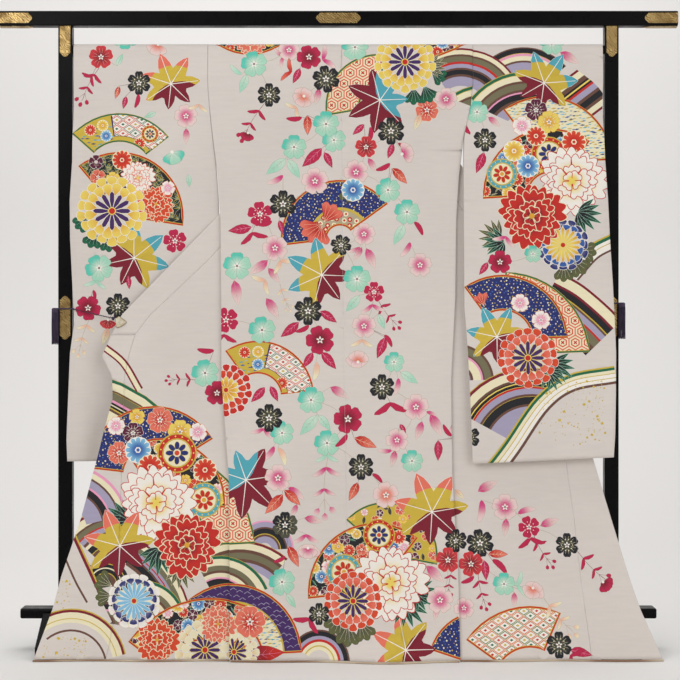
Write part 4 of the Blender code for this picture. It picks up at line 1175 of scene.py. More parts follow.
STRIPES = {
    # dye and width in millimetres, from the outer arc inwards or from the path to its left
    "terrace": (
        "dark_red 5, cream 11, brown 5, moss 14, red 6, lilac 10, brown 5, black 12, brown 6, lilac 24"),
    "mound": "brown 3, black 12, gold 1.5, pink 6, cream 12, brown 5, lilac 26",
    "meadow_edge": (
        "gold 1.5, forest 7, gold 1.5, cream 15, brown 6, moss 16, brown 6, pink 4, black 15, brown 8, "
        "lilac 30"),
    "rays": (
        "dark_red 6, cream 16, brown 11, black 5, yellow 4, black 5, red 6, lilac 15, brown 8, black 15, "
        "brown 8, cream 14, dark_red 6"),
    "slope": (
        "dark_red 6, cream 24, dark_red 6, black 16, gold 3, brown 5, lilac 15, red 5, moss 20, brown 9, "
        "black 20"),
    "bank": "brown 6, moss 17, brown 4, pink 5, cream 20, brown 7, lilac 20",
    "sweep": (
        "gold 2, dark_red 7, cream 20, brown 6, black 3, yellow 3, black 7, yellow 1, red 5, lilac 15, "
        "brown 6, gold 1, black 19, brown 6, lilac 60"),
    "border": "gold 4, forest 7, cream 8, gold 2, ivory 10, gold 2, ivory 9, brown 7",
    "ledge": "gold 4, forest 8, ivory 8, gold 2, ivory 14, brown 5",
    "pair": "dark_red 5, cream 11, dark_red 4",
    "arch": (
        "gold 1, forest 7, cream 18, brown 4, gold 1, moss 18, pink 6, black 5, cream 3, black 5, gold 3, "
        "brown 6, cream 30"),
    "inlet": "pink 7, cream 13, brown 5, lilac 17, pink 5, black 15, brown 5, lilac 40",
    "shelf": (
        "gold 2, dark_red 6, cream 18, brown 5, moss 12, red 4, lilac 12, brown 7, cream 8, black 15, "
        "gold 2, brown 9, moss 14, black 20"),
    "steps": "dark_red 5, cream 12, moss 12, lilac 6, red 3, lilac 5, brown 5, black 14, brown 8",
    "bay": "gold 1, forest 7, cream 16, moss 12, brown 6, cream 10, pink 4, black 14, brown 10, lilac 12",
    "shore": "gold 3, dark_red 6, cream 14, gold 2, cream 9, ground 16, brown 5, ground 170",
    "bridge": "gold 1, dark_red 6, cream 15, brown 8, moss 15, brown 8, lilac 16",
    "crest": "pink 4, lilac 12, brown 4, black 12, gold 2, brown 5, lilac 16",
    "brook": "brown 4, black 11, lilac 8, red 6, cream 8, gold 3, cream 8",
    "rim": "dark_red 7, gold 4",
    "pit": "black 9, gold 2, black 8, cream 3, black 9, gold 2, brown 12, black 30",
    "delta": "forest 6, cream 15, brown 6, black 12, pink 5, moss 10, brown 6, black 30",
    "line": "brown 5",
}


def stripes(kind):
    """Dye and width in metres of each band of a kind."""
    for band in STRIPES[kind].split(", "):
        ink, width = band.split()
        yield ink, float(width) * MM


def bands(work, path, kind):
    """Parallel bands, side by side to the left of a path."""
    offset = 0.0
    for ink, width in stripes(kind):
        outer = offset + width
        work.lay(np.concatenate((beside(path, offset), beside(path, outer)[::-1])), ink, gilt=gilding(ink))
        offset = outer


def hill(work, first, middle, last, kind):
    """Bands side by side inside the arc through three places."""
    centre, radius, start, turn = arc_through(first, middle, last)
    for ink, width in stripes(kind):
        inner = max(radius - width, 0.0)
        work.lay(sector(centre, radius, inner, start, start + turn), ink, gilt=gilding(ink))
        radius = inner
        if radius == 0.0:
            return


# Gilt dust: the least size, what a square or a speck may add to it, and how fast it thins out
LEAST_SPECK = 0.0008
SQUARE_MORE = 0.0042
SPECK_MORE = 0.0012
THINNING = 0.6


def dust(work, first, second, count):
    """Gilt squares and specks, thinning out to the left."""
    draw = np.random.default_rng(7)
    low, high = np.minimum(first, second), np.maximum(first, second)
    for number in range(count):
        share = draw.random(2)
        at = low + (high - low) * (share[0] ** THINNING, share[1])
        size = LEAST_SPECK + (SQUARE_MORE if number % 4 == 0 else SPECK_MORE) * draw.random()
        work.lay(placed(disc((0.0, 0.0), size, 4), at, 90.0 * draw.random()), "gold", gilt=0.8)


# Layout of the design. Places are pixels of the 680 by 680 picture, sizes are millimetres, turns are degrees
# anticlockwise from upright. Panels: B back, L and R fronts, S and T left and right sleeves.

NEAR_FACES = {"B": hang, "L": outer_leg, "R": outer_leg, "S": left_sleeve_face, "T": right_sleeve_face}

HILLS = (
    # panels, kind, x0, y0, x1, y1, x2, y2
    ("T", "mound", 488, 60, 514, 48, 566, 66), ("B", "terrace", 424, 60, 462, 48, 500, 62),
    ("T", "terrace", 440, 56, 474, 50, 514, 76), ("T", "meadow_edge", 462, 112, 494, 79, 556, 78),
    ("B", "meadow_edge", 440, 104, 462, 89, 490, 84),
    ("T", "bank", 458, 344, 480, 352, 494, 380),
    ("T", "sweep", 456, 410, 500, 373, 556, 372),
    ("L", "arch", 96, 374, 138, 391, 168, 414), ("L", "shelf", 66, 530, 100, 509, 160, 520),
    ("L", "inlet", 80, 466, 108, 480, 128, 514), ("L", "steps", 140, 540, 166, 562, 190, 606),
    ("L", "bay", 116, 590, 150, 581, 182, 606), ("LB", "crest", 236, 548, 266, 520, 294, 548),
    ("LB", "bridge", 200, 552, 246, 540, 288, 558), ("LB", "bay", 196, 562, 236, 558, 268, 588),
    ("B", "brook", 292, 646, 314, 630, 350, 662),
    ("L", "pit", 82, 592, 102, 560, 128, 592), ("L", "delta", 80, 614, 108, 593, 136, 628),
)
BARE = (
    # panels, places
    ("B", ((400, 58), (436, 66), (447, 97), (476, 108), (476, 150), (400, 150))),
    ("T", ((460, 99), (512, 123), (532, 150), (520, 200), (460, 200))),
    ("T", ((576, 69), (592, 81), (610, 99), (620, 60), (580, 52))),
    ("T", ((484, 468), (504, 443), (536, 398), (568, 375), (614, 366), (614, 474))),
    ("L", ((58, 545), (70, 530), (85, 565), (98, 594), (112, 622), (20, 680), (20, 600))),
)
BANDS = (
    # panels, kind, path
    ("T", "rays", ((582, 66), (566, 78), (548, 92))),
    ("T", "slope", ((622, 320), (607, 305), (583, 285), (560, 272))),
    ("T", "border", ((614, 366), (568, 375), (536, 398), (504, 443), (484, 468))),
    ("T", "ledge", ((612, 233), (588, 246), (566, 270))),
    ("L", "pair", ((143, 388), (126, 360), (104, 342))),
    ("L", "rim", ((68, 528), (85, 565), (100, 598))), ("L", "line", ((88, 602), (76, 580), (64, 553))),
)
HEM_HILLS = (("L", "shore", 34, 622, 80, 609, 126, 654),)
HILLS_UNDER_RAYS = 4

DUST = (
    # panels, x0, y0, x1, y1, specks
    ("T", 535, 450, 604, 375, 170), ("L", 40, 662, 86, 636, 50), ("L", 56, 608, 70, 578, 20),
)

FANS = (
    # panels, x0, y0, x1, y1, x2, y2, depth, rim, filling
    ("S", 72, 134, 120, 113, 169, 137, 74, "forest", "clouds"),
    ("S", 78, 166, 125, 152, 183, 226, 98, "red", "pine"),
    ("B", 215, 43, 249, 55, 284, 43, 80, "red", "meadow"),
    ("B", 326, 116, 340, 70, 385, 54, 88, "forest", "kikko"),
    ("B", 281, 246, 346, 180, 388, 204, 118, "red", "orchard"),
    ("B", 225, 351, 280, 345, 314, 391, 84, "red", "clouds"),
    ("B", 422, 60, 446, 54, 470, 41, 60, "red", "meadow"),
    ("T", 503, 110, 550, 96, 614, 160, 84, "red", "water"),
    ("T", 483, 199, 520, 135, 590, 141, 116, "red", "meadow"),
    ("T", 505, 272, 560, 292, 590, 352, 92, "forest", "kikko"),
    ("T", 464, 287, 510, 275, 568, 338, 92, "red", "speckle"),
    ("LB", 205, 462, 240, 495, 255, 543, 118, "forest", "kikko"),
    ("L", 84, 468, 150, 406, 213, 439, 100, "red", "speckle"),
    ("L", 124, 450, 165, 438, 225, 508, 128, "red", "meadow"),
    ("B", 346, 520, 400, 504, 437, 565, 110, "forest", "plums"),
    ("B", 308, 599, 345, 530, 418, 538, 118, "red", "meadow"),
    ("LB", 188, 600, 245, 584, 302, 652, 100, "red", "brocade"),
    ("LB", 128, 642, 195, 599, 268, 617, 100, "red", "meadow"),
    ("B", 430, 650, 442, 628, 466, 613, 80, "red", "speckle"),
    ("RB", 466, 640, 508, 609, 561, 613, 100, "red", "lattice"),
)

Motif = namedtuple("Motif", "motif panels x y size turn kind")
LAYOUT = (
    # left sleeve
    "leaf S 117 66 36 -20 mint, spray S 99 68 92 158 crimson, blossom S 101 57 32 0 coral, "
    "half_bloom S 158 44 32 160 pale, curls S 92 76 26 130 crimson, maple S 171 84 84 20 coral, "
    "blossom S 139 83 32 0 black, leaf S 119 86 34 168 coral, leaf S 126 96 34 172 crimson, "
    "curl S 138 94 34 190 crimson, leaf S 156 112 34 120 mint, blossom S 186 116 31 12 pink, "
    "leaf S 186 128 42 184 pink, half_bloom S 172 152 34 200 mint, leaf S 188 174 34 190 mint, "
    "curls S 199 104 28 170 pale, blossom S 96 162 20 0 dark_plum, blossom S 98 177 21 20 coral_plum, "
    "blossom S 113 179 20 8 yellow_plum, daisy S 122 160 26 0 small_red, peony S 138 178 42 20 ivory, "
    "peony S 156 204 46 60 orange, blossom S 168 188 20 30 white_plum, rosette S 150 134 22 0 red, "
    "round_leaf S 88 218 40 130 green, round_leaf S 96 232 42 158 green, "
    "round_leaf S 108 236 40 184 green, maple S 134 258 96 -52 teal, chrysanthemum S 112 211 89 0 gold, "
    "blossom S 175 241 32 10 ringed, curls S 96 280 32 172 mint, blossom S 99 268 36 30 mint, "
    "curl S 93 290 26 210 crimson, spray S 90 318 88 168 pale, blossom S 88 308 33 40 crimson, "
    "leaf S 128 276 34 190 crimson, half_bloom S 108 320 24 176 coral, leaf S 108 328 46 166 pale, "
    "blossom S 118 306 34 0 black, "
    # back, above the waist
    "peony B 250 38 44 180 coral, leaf B 247 74 52 164 mint, curl B 242 74 36 74 mint, "
    "blossom B 254 64 35 12 teal, curls B 284 56 30 110 pink, blossom B 289 50 29 0 pink, "
    "leaf B 300 68 44 160 crimson, curls B 292 72 34 70 coral, curls B 322 60 40 -66 pink, "
    "blossom B 309 57 33 18 crimson, spray B 264 104 96 154 crimson, blossom B 269 95 32 0 black, "
    "half_bloom B 248 133 22 160 crimson, leaf B 319 88 44 172 pink, blossom B 326 79 37 10 black, "
    "half_bloom B 302 100 34 -30 pale, half_bloom B 304 96 30 150 pale, curls B 297 107 30 130 pale, "
    "leaf B 307 115 52 186 coral, curl B 302 117 38 118 crimson, leaf B 286 158 66 134 mint, "
    "leaf B 287 159 60 218 mint, curl B 283 175 44 140 pink, blossom B 294 147 33 0 teal, "
    "leaf B 322 148 70 138 crimson, leaf B 324 152 46 212 crimson, blossom B 334 140 32 14 mint, "
    "blossom B 326 124 35 0 teal, blossom B 315 181 36 8 pink, blossom B 356 172 33 22 pink, "
    "blossom B 355 47 36 0 teal, blossom B 427 110 31 30 coral_plum, round_leaf B 414 88 42 178 green, "
    "round_leaf B 424 86 44 204 green, round_leaf B 432 72 38 236 green, tuft B 430 66 46 -80 olive, "
    "maple B 380 100 92 118 wine, chrysanthemum B 405 62 79 0 gold, leaf B 420 114 44 166 pale, "
    "leaf B 364 124 40 138 crimson, curl B 370 127 36 200 crimson, blossom B 366 147 29 0 coral, "
    "leaf B 368 158 42 214 pink, leaf B 393 143 42 166 crimson, curl B 398 143 28 -120 crimson, "
    "blossom B 391 131 37 0 black, half_bloom B 402 154 32 -70 pink, curl B 390 163 38 140 crimson, "
    "leaf B 392 168 56 228 coral, blossom B 388 190 33 16 mint, blossom B 407 212 34 0 mint, "
    "leaf B 404 224 60 158 mint, curl B 414 222 38 236 crimson, curl B 410 242 42 170 pink, "
    "blossom B 420 265 32 0 pink, blossom B 446 99 30 0 pink, blossom T 464 107 30 12 teal, "
    "blossom T 477 112 30 0 teal, leaf T 488 117 40 236 pink, "
    # navy fan
    "round_leaf B 350 184 46 176 olive, daisy B 353 190 30 0 small_blue, "
    "round_leaf B 322 224 56 118 coral, round_leaf B 322 226 48 168 coral, "
    "round_leaf B 324 222 52 -34 coral, "
    # back, below the navy fan
    "leaf B 252 227 62 104 crimson, curls B 252 232 40 196 crimson, blossom B 260 214 34 6 ringed, "
    "curl B 272 221 36 128 crimson, leaf B 279 220 38 200 crimson, blossom B 283 204 37 0 black, "
    "leaf B 268 260 60 132 pink, leaf B 268 268 48 222 pink, curls B 280 260 36 214 pale, "
    "blossom B 275 248 34 20 pink, leaf B 234 280 66 194 pink, blossom B 237 266 37 0 teal, "
    "curls B 266 280 36 132 pale, leaf B 266 298 62 216 pink, spray B 280 284 64 206 pale, "
    "blossom B 262 330 36 8 teal, blossom B 226 320 34 24 ringed, curls B 224 334 36 180 crimson, "
    "maple B 322 275 100 62 teal, curl B 360 247 32 132 pink, leaf B 366 248 58 208 pink, "
    "leaf B 362 247 40 152 pink, blossom B 364 234 30 0 pink, blossom B 341 245 28 14 black, "
    "leaf B 360 295 56 144 mint, blossom B 357 279 36 0 teal, spray B 378 300 78 222 crimson, "
    "curls B 372 304 34 186 pink, blossom B 374 292 28 0 ringed, leaf B 320 311 52 240 crimson, "
    "leaf B 299 322 60 134 crimson, curl B 309 325 36 140 crimson, blossom B 308 311 38 0 black, "
    "leaf B 313 352 48 152 crimson, leaf B 321 352 58 226 crimson, blossom B 320 340 38 20 crimson, "
    "curls B 362 339 32 178 pale, blossom B 364 326 32 0 pink, leaf B 378 314 42 208 mint, "
    "leaf B 385 337 58 164 crimson, curl B 384 335 34 236 crimson, half_bloom B 357 356 32 176 pink, "
    "half_bloom B 358 362 30 -10 pale, leaf B 400 372 54 242 mint, blossom B 394 362 27 0 teal, "
    "curl B 398 378 40 190 pink, blossom B 382 387 34 0 black, leaf B 330 387 56 244 pink, "
    "curl B 316 362 44 196 pale, "
    # back, below the lattice fan
    "leaf B 265 387 52 142 crimson, leaf B 270 386 44 212 crimson, chrysanthemum B 226 390 66 0 ember, "
    "curls B 264 428 34 166 pink, leaf B 317 415 66 144 mint, leaf B 318 415 50 224 mint, "
    "blossom B 311 400 35 0 mint, blossom B 282 433 31 12 teal, blossom B 269 418 37 0 black, "
    "curl B 274 446 44 164 pink, curl B 278 448 44 226 pale, spray B 328 456 132 182 pink, "
    "curls B 327 454 32 180 mint, blossom B 327 443 34 8 mint, curl B 347 434 40 160 crimson, "
    "leaf B 354 438 62 252 coral, blossom B 348 419 38 16 crimson, curl B 372 474 32 -108 crimson, "
    "leaf B 358 482 52 158 coral, blossom B 361 467 34 0 black, blossom B 386 495 34 10 pale, "
    "curls B 390 402 48 186 crimson, leaf B 400 424 30 214 crimson, curl B 426 412 32 -96 pink, "
    "leaf B 422 421 50 166 pink, leaf B 430 414 64 212 pink, blossom B 416 407 34 0 pink, "
    "curl B 392 450 34 112 pink, leaf B 395 450 44 172 pink, blossom B 397 440 30 22 pink, "
    "blossom B 412 461 29 0 teal, leaf B 438 440 52 184 crimson, leaf B 444 496 40 60 pale, "
    "leaf BR 455 490 34 230 pale, maple B 246 480 100 -134 wine, curl B 288 488 46 -104 pink, "
    "leaf B 284 490 56 232 coral, leaf B 283 494 66 142 coral, leaf B 297 504 36 160 pink, "
    "blossom B 278 478 35 0 pink, leaf B 304 518 48 262 pink, curls B 306 534 36 180 pink, "
    "half_bloom B 308 558 36 0 pink, half_bloom B 308 548 28 178 pink, leaf B 288 546 58 212 coral, "
    "curl B 285 556 30 140 crimson, blossom B 285 525 34 0 smoke, leaf B 286 594 42 220 mint, "
    "blossom B 282 582 34 14 teal, leaf B 246 656 96 -80 dark, "
    # right cluster
    "maple BR 432 512 104 22 coral, maple B 406 650 92 64 coral, tuft B 404 602 70 -138 green, "
    "tuft B 414 592 62 -104 green, round_leaf B 342 616 50 146 olive, round_leaf B 348 624 52 178 olive, "
    "round_leaf B 360 622 46 206 olive, rosette B 379 535 40 0 red, rosette B 344 572 44 10 blue, "
    "peony B 391 583 88 14 white, chrysanthemum B 353 601 72 0 flame, curls B 310 618 40 150 crimson, "
    "blossom B 319 614 28 0 black, leaf B 426 566 60 232 pink, "
    # bottom left of the back
    "chrysanthemum LB 205 650 74 0 cream, chrysanthemum B 234 652 62 10 cream, "
    "peony L 157 640 52 0 orange, peony LB 218 624 44 0 coral, blossom B 250 622 40 0 coral_plum, "
    # right front
    "leaf BR 478 492 58 -58 pink, curl R 481 500 52 196 pink, leaf R 506 518 46 178 pink, "
    "curl R 518 514 44 -52 pink, blossom R 505 507 34 0 pink, leaf R 540 526 52 -66 pink, "
    "spray R 534 536 78 216 crimson, curls R 530 537 38 190 crimson, blossom R 529 527 29 20 ringed, "
    "spray R 578 552 92 230 crimson, half_bloom R 603 582 26 228 crimson, blossom R 567 545 31 0 black, "
    "leaf RB 488 554 50 -86 coral, curl R 492 560 46 -110 crimson, leaf RB 484 560 50 190 crimson, "
    "blossom BR 456 541 30 0 black, blossom RB 480 543 36 10 black, spray B 452 570 58 176 crimson, "
    "spray RB 478 574 76 198 crimson, curl RB 474 576 34 140 crimson, blossom B 448 560 32 0 coral, "
    "blossom RB 471 564 32 16 coral, leaf B 437 604 40 176 pink, blossom B 440 600 34 0 pink, "
    "blossom RB 464 608 27 20 pink, leaf R 514 592 38 184 pink, curls R 516 586 36 -80 mint, "
    "blossom R 504 584 29 0 teal, half_bloom R 532 594 32 -40 pale, half_bloom R 533 588 28 150 pale, "
    "spray R 544 598 104 226 pale, leaf R 570 650 56 -98 crimson, curls R 570 655 34 -124 crimson, "
    "blossom R 559 645 34 0 black, curls BT 455 420 38 212 pink, leaf B 456 446 58 190 crimson, "
    "leaf B 461 456 32 -66 crimson, blossom BT 467 437 33 0 black, blossom BT 468 478 28 0 teal, "
    "curl B 452 436 34 60 crimson, "
    # right sleeve
    "blossom T 552 43 32 0 teal, leaf T 560 52 58 -118 pink, maple T 544 83 90 -34 teal, "
    "blossom T 536 110 30 0 dark_plum, blossom T 549 122 30 10 yellow_plum, "
    "blossom T 522 126 26 0 white_plum, rosette T 549 154 46 0 red, rosette T 502 174 40 12 blue, "
    "daisy T 536 136 26 0 small_red, daisy T 574 142 32 0 small_red, daisy T 514 151 28 0 small_gold, "
    "daisy T 528 166 30 0 small_blue, peony T 572 181 86 0 white, tuft T 500 238 60 70 olive, "
    "tuft T 504 242 58 104 green, tuft T 578 212 66 -116 green, round_leaf T 572 258 50 -140 olive, "
    "round_leaf T 564 264 44 178 olive, round_leaf T 578 250 46 -100 olive, "
    "chrysanthemum T 563 245 66 0 blue, peony T 532 216 82 24 red, blossom T 500 262 31 0 crimson, "
    "leaf T 488 262 40 150 crimson, curls T 506 236 34 160 pink, blossom T 533 254 23 0 teal, "
    "curls T 462 119 42 150 crimson, leaf T 484 152 58 164 crimson, blossom T 485 140 32 0 black, "
    "round_leaf T 484 306 34 20 coral, blossom T 520 303 24 0 white_plum, "
    "blossom T 541 320 25 10 white_plum, maple T 497 337 84 26 teal, tuft T 552 364 64 -124 green, "
    "tuft T 548 372 56 -156 green, chrysanthemum T 528 358 77 0 flame, "
    # left front
    "blossom L 116 426 24 0 white_plum, blossom L 137 417 22 10 yellow_plum, "
    "blossom L 133 433 28 0 dark_plum, blossom L 160 420 34 8 coral_plum, "
    "blossom L 180 432 32 0 yellow_plum, blossom L 198 432 24 20 white_plum, "
    "blossom L 119 453 30 0 coral_plum, rosette L 177 453 50 0 red, rosette LB 204 500 44 14 blue, "
    "daisy L 138 450 34 0 small_blue, daisy L 150 467 32 0 small_red, daisy LB 205 470 30 0 small_red, "
    "tuft L 128 520 66 82 green, tuft L 150 520 70 150 olive, tuft L 160 548 70 176 green, "
    "tuft L 180 566 60 200 olive, peony L 156 503 92 6 white, maple L 120 546 98 24 coral, "
    "peony L 187 545 78 30 red, round_leaf L 112 586 44 60 olive, round_leaf L 112 596 40 96 olive, "
    "chrysanthemum L 134 601 66 0 ice, half_bloom L 209 374 30 40 mint, spray L 196 380 66 96 crimson, "
    "blossom L 205 373 36 10 mint, blossom L 217 393 32 0 crimson, curl L 214 350 40 110 crimson"
)
MOTIFS = {
    "blossom": blossom, "half_bloom": half_bloom, "leaf": leaf, "round_leaf": round_leaf, "tuft": tuft,
    "curl": curl, "curls": curls, "spray": spray, "chrysanthemum": chrysanthemum, "peony": peony,
    "maple": maple, "rosette": rosette, "daisy": daisy,
}


def layout():
    """Rows of the layout, with their places, sizes and turns as numbers."""
    rows = (row.split() for row in LAYOUT.split(", "))
    return [Motif(motif, panels, *map(float, numbers), kind) for motif, panels, *numbers, kind in rows]


def spot(panels, px, py):
    """Place of a pixel on a panel's flat plane: where the line from the camera meets it, in three steps."""
    studio = bpy.context.scene.furisode_studio
    half = 0.5 * studio.picture
    x, z = studio.camera_x, studio.height
    for _ in range(3):
        scale = studio.focal / (studio.distance + float(NEAR_FACES[panels[0]](x, z)))
        x = studio.camera_x + (px - half) / scale
        z = studio.height + (half - py) / scale
    return x, z


def places_of(panels, pixels):
    """Places of several pixels."""
    return [spot(panels, *pixel) for pixel in pixels]


def hills(work, rows):
    """Lays rows of the table of hills."""
    for panels, kind, x0, y0, x1, y1, x2, y2 in rows:
        hill(work.on(panels), *places_of(panels, ((x0, y0), (x1, y1), (x2, y2))), kind)


def banks(work, rows):
    """Lays rows of the table of bands."""
    for panels, kind, path in rows:
        bands(work.on(panels), curve(places_of(panels, path)), kind)


TWIG_REACH = 0.075
STEM_REACH = 0.105
TWIG_WIDTH = 0.0013
STEM_WIDTH = 0.0012
STEM_RISE = 0.02
STEM_BEND = 0.08


def stems(work):
    """Thin stems from each loose leaf or bud to the nearest blossom, and from a blossom to one above it."""
    for panel in "BRTSL":
        rows = [row for row in layout() if row.panels[0] == panel and "plum" not in row.kind]
        flowers = np.array([spot(panel, row.x, row.y) for row in rows if row.motif == "blossom"])
        work.on(max((row.panels for row in rows), key=lambda panels: (len(panels), panels)))
        for row in rows:
            at = np.array(spot(panel, row.x, row.y))
            far = np.linalg.norm(flowers - at, axis=1)
            if row.motif in ("leaf", "curl", "curls", "spray", "half_bloom") and far.min() < TWIG_REACH:
                bark = "brown" if row.kind in ("crimson", "coral") else "tan"
                work.stroke(flowers[far.argmin()], at, TWIG_WIDTH, bark)
            if row.motif == "blossom":
                far = np.where(flowers[:, 1] > at[1] + STEM_RISE, far, 1.0)
                if far.min() < STEM_REACH:
                    above = flowers[far.argmin()]
                    middle = 0.5 * (above + at) + STEM_BEND * (above - at)[::-1] * (1.0, -1.0)
                    work.lay(ribbon(curve((above, middle, at), 3), STEM_WIDTH), "tan")


@cache
def dyework():
    """The whole dyed design, laid once: bands, fans, flowers and leaves, then the sleeves' far layers."""
    work = Dyework()

    def turned_over(ring):
        """A ring of a sleeve's near layer on the other one's far layer."""
        return np.stack((-ring[:, 0], UP_AND_DOWN - ring[:, 1]), axis=1)

    hills(work, HILLS[:HILLS_UNDER_RAYS])
    banks(work, BANDS[:1])
    hills(work, HILLS[HILLS_UNDER_RAYS:])
    for panels, places in BARE:
        work.on(panels).lay(places_of(panels, places), "ground")
    banks(work, BANDS[1:])
    hills(work, HEM_HILLS)
    for panels, x0, y0, x1, y1, x2, y2, depth, rim, filling in FANS:
        ends = places_of(panels, ((x0, y0), (x1, y1), (x2, y2)))
        fan(work.on(panels), *ends, depth * MM, rim, filling)
    stems(work)
    for row in layout():
        at = spot(row.panels, row.x, row.y)
        MOTIFS[row.motif](work.on(row.panels), at, row.size * MM, row.turn, row.kind)
    for panels, x0, y0, x1, y1, specks in DUST:
        dust(work.on(panels), *places_of(panels, ((x0, y0), (x1, y1))), specks)
    work.copy({"S": "T", "T": "S"}, turned_over)
    return work


# Panels

def cloth():
    return bpy.context.scene.furisode_cloth


def over_rod(near, far):
    """Surface of a sheet that climbs its near side, goes half round the rod and falls on its far side.

    The second coordinate is the height below the rod's axis, and beyond it the length run."""
    def surface(u, v):
        turn = np.clip((v - ROD_Z) / FOLD_RADIUS, 0.0, math.pi)
        rising, falling = v < ROD_Z, v > ROD_Z + ROD_RUN
        z = np.where(rising, v, np.where(falling, UP_AND_DOWN - v, ROD_Z + FOLD_RADIUS * np.sin(turn)))
        y = np.where(rising, near(u, z), np.where(falling, far(u, z), -FOLD_RADIUS * np.cos(turn)))
        return np.stack((u, y + AXIS_Y, z), axis=-1)
    return surface


def sunk(x, left, right):
    """How far the cloth sinks beside its two seams: a bell curve of the distance to each."""
    size = cloth().seam_width
    return cloth().seam_depth * (np.exp(-((x - left) / size) ** 2) + np.exp(-((right - x) / size) ** 2))


BACK_CREASES = (
    # x0, z0, x1, z1, width, height
    (-0.285, 0.690, -0.270, 0.080, 0.0070, 0.0016),
    (0.296, 1.080, 0.300, 0.250, 0.0090, 0.0015),
    (0.335, 0.980, 0.322, 0.420, 0.0080, -0.0010),
    (0.200, 0.700, 0.338, 0.698, 0.0050, 0.0010),
    (-0.080, 1.500, -0.105, 1.180, 0.0200, -0.0012),
    (0.130, 1.500, 0.150, 1.100, 0.0240, -0.0011),
    (-0.160, 0.900, -0.140, 0.300, 0.0300, -0.0012),
    (0.090, 0.760, 0.115, 0.060, 0.0300, 0.0012),
    (-0.200, 0.240, -0.215, 0.006, 0.0160, 0.0012),
    (0.190, 0.300, 0.215, 0.006, 0.0220, -0.0014),
)
SLEEVE_CREASES = (
    (-0.690, 1.014, -0.430, 1.012, 0.0030, 0.0009),
    (-0.640, 1.480, -0.625, 0.560, 0.0260, -0.0010),
    (-0.500, 1.500, -0.480, 0.700, 0.0340, 0.0010),
    (-0.400, 1.430, -0.385, 1.050, 0.0280, -0.0010),
    (0.330, 1.020, 0.690, 1.016, 0.0032, 0.0009),
    (0.420, 1.500, 0.440, 0.760, 0.0340, 0.0010),
    (0.560, 1.480, 0.575, 0.560, 0.0300, -0.0011),
    (0.660, 1.300, 0.664, 0.600, 0.0120, 0.0008),
)
FRONT_CREASES = (
    (0.372, 0.284, 0.668, 0.371, 0.0200, 0.0016),
    (0.420, 0.130, 0.700, 0.210, 0.0260, -0.0014),
    (0.520, 0.480, 0.560, 0.020, 0.0240, 0.0012),
    (-0.520, 0.760, -0.320, 0.930, 0.0160, 0.0013),
    (-0.500, 0.700, -0.330, 0.760, 0.0180, -0.0012),
    (-0.450, 0.620, -0.470, 0.060, 0.0240, 0.0012),
    (-0.620, 0.300, -0.700, 0.030, 0.0200, 0.0012),
)


# How a crease wanders: share of its width, waves in its length, and where they start by its place
WANDER = (0.25, 9.0, 40.0)


def creased(x, z, creases):
    """Soft ridges and troughs: each is a bell curve across its line that fades over its end quarters."""
    total = np.zeros(np.broadcast(x, z).shape)
    for x0, z0, x1, z1, width, height in creases:
        along = np.array((x1 - x0, z1 - z0))
        length = float(np.hypot(*along))
        along = along / length
        run = ((x - x0) * along[0] + (z - z0) * along[1]) / length
        away = (x - x0) * along[1] - (z - z0) * along[0]
        wander = WANDER[0] * width * np.sin(WANDER[1] * run + WANDER[2] * x0)
        bell = height * np.exp(-((away - wander) / width) ** 2)
        total += bell * smooth(4.0 * run) * smooth(4.0 * (1.0 - run))
    return cloth().crease_share * total


def back_piece(side):
    """Half of the back: from the hem up and over the rod to the shoulder line."""
    half = 0.5 * GAP
    pairs = {"left": (("left", 0.0), ("centre", -half)), "right": (("centre", half), ("right", 0.0))}
    top = ROD_Z + ROD_RUN + ROD_Z - SHOULDER_Z - GAP
    rows = levels(HEM_Z, top, cloth().pitch, (ROD_Z, ROD_Z + 0.5 * ROD_RUN, ROD_Z + ROD_RUN))
    edges = [lambda z, name=name, shift=shift: body(name, z) + shift for name, shift in pairs[side]]

    def near(x, z):
        return hang(x, z) + sunk(x, edges[0](z), edges[1](z)) - creased(x, z, BACK_CREASES)

    grid = strip(edges[0](rows), edges[1](rows), rows, cloth().pitch)
    return "back_" + side, grid, over_rod(near, lambda x, z: FOLD_RADIUS + 0.0 * x), "B"


# A seam that a panel doesn't have, and the width beside a fold where creases fade
NO_SEAM = 9.0
FOLD_EASE = 0.03


def front_piece(side):
    """A front: leg behind the back, turn, then outwards to its seam. Across it runs the length of cloth."""
    inward = 1.0 if side == "left" else -1.0
    turn = math.pi * TURN_RADIUS
    rows = levels(HEM_Z, SHOULDER_Z, cloth().pitch, (COLLAR_END_Z,))

    def fold(z):
        return body(side, z) + inward * (GAP + wing("reach", z))

    def seam(z):
        return wing(side + "_seam", z) + inward * 0.5 * GAP

    def surface(u, z):
        past = inward * (u - fold(z))
        angle = np.clip(past / TURN_RADIUS, 0.0, math.pi)
        reach = TURN_RADIUS * np.sin(angle) - np.clip(past - turn, 0.0, None)
        x = np.where(past < 0.0, u, fold(z) + inward * reach)
        outer = outer_leg(u, z) - creased(u, z, FRONT_CREASES) * smooth(-past / FOLD_EASE)
        seams = (seam(z), NO_SEAM) if side == "left" else (-NO_SEAM, seam(z))
        outer = outer + sunk(u, *seams)
        bend = inner_leg(fold(z), z) + TURN_RADIUS * (1.0 + np.cos(angle))
        y = np.where(past < 0.0, outer, np.where(past < turn, bend, inner_leg(x, z)))
        return np.stack((x, y + AXIS_Y, z), axis=-1)

    far = fold(rows) + inward * (turn + wing("reach", rows))
    ends = (seam(rows), far) if side == "left" else (far, seam(rows))
    return "front_" + side, strip(*ends, rows, cloth().pitch), surface, "L" if side == "left" else "R"


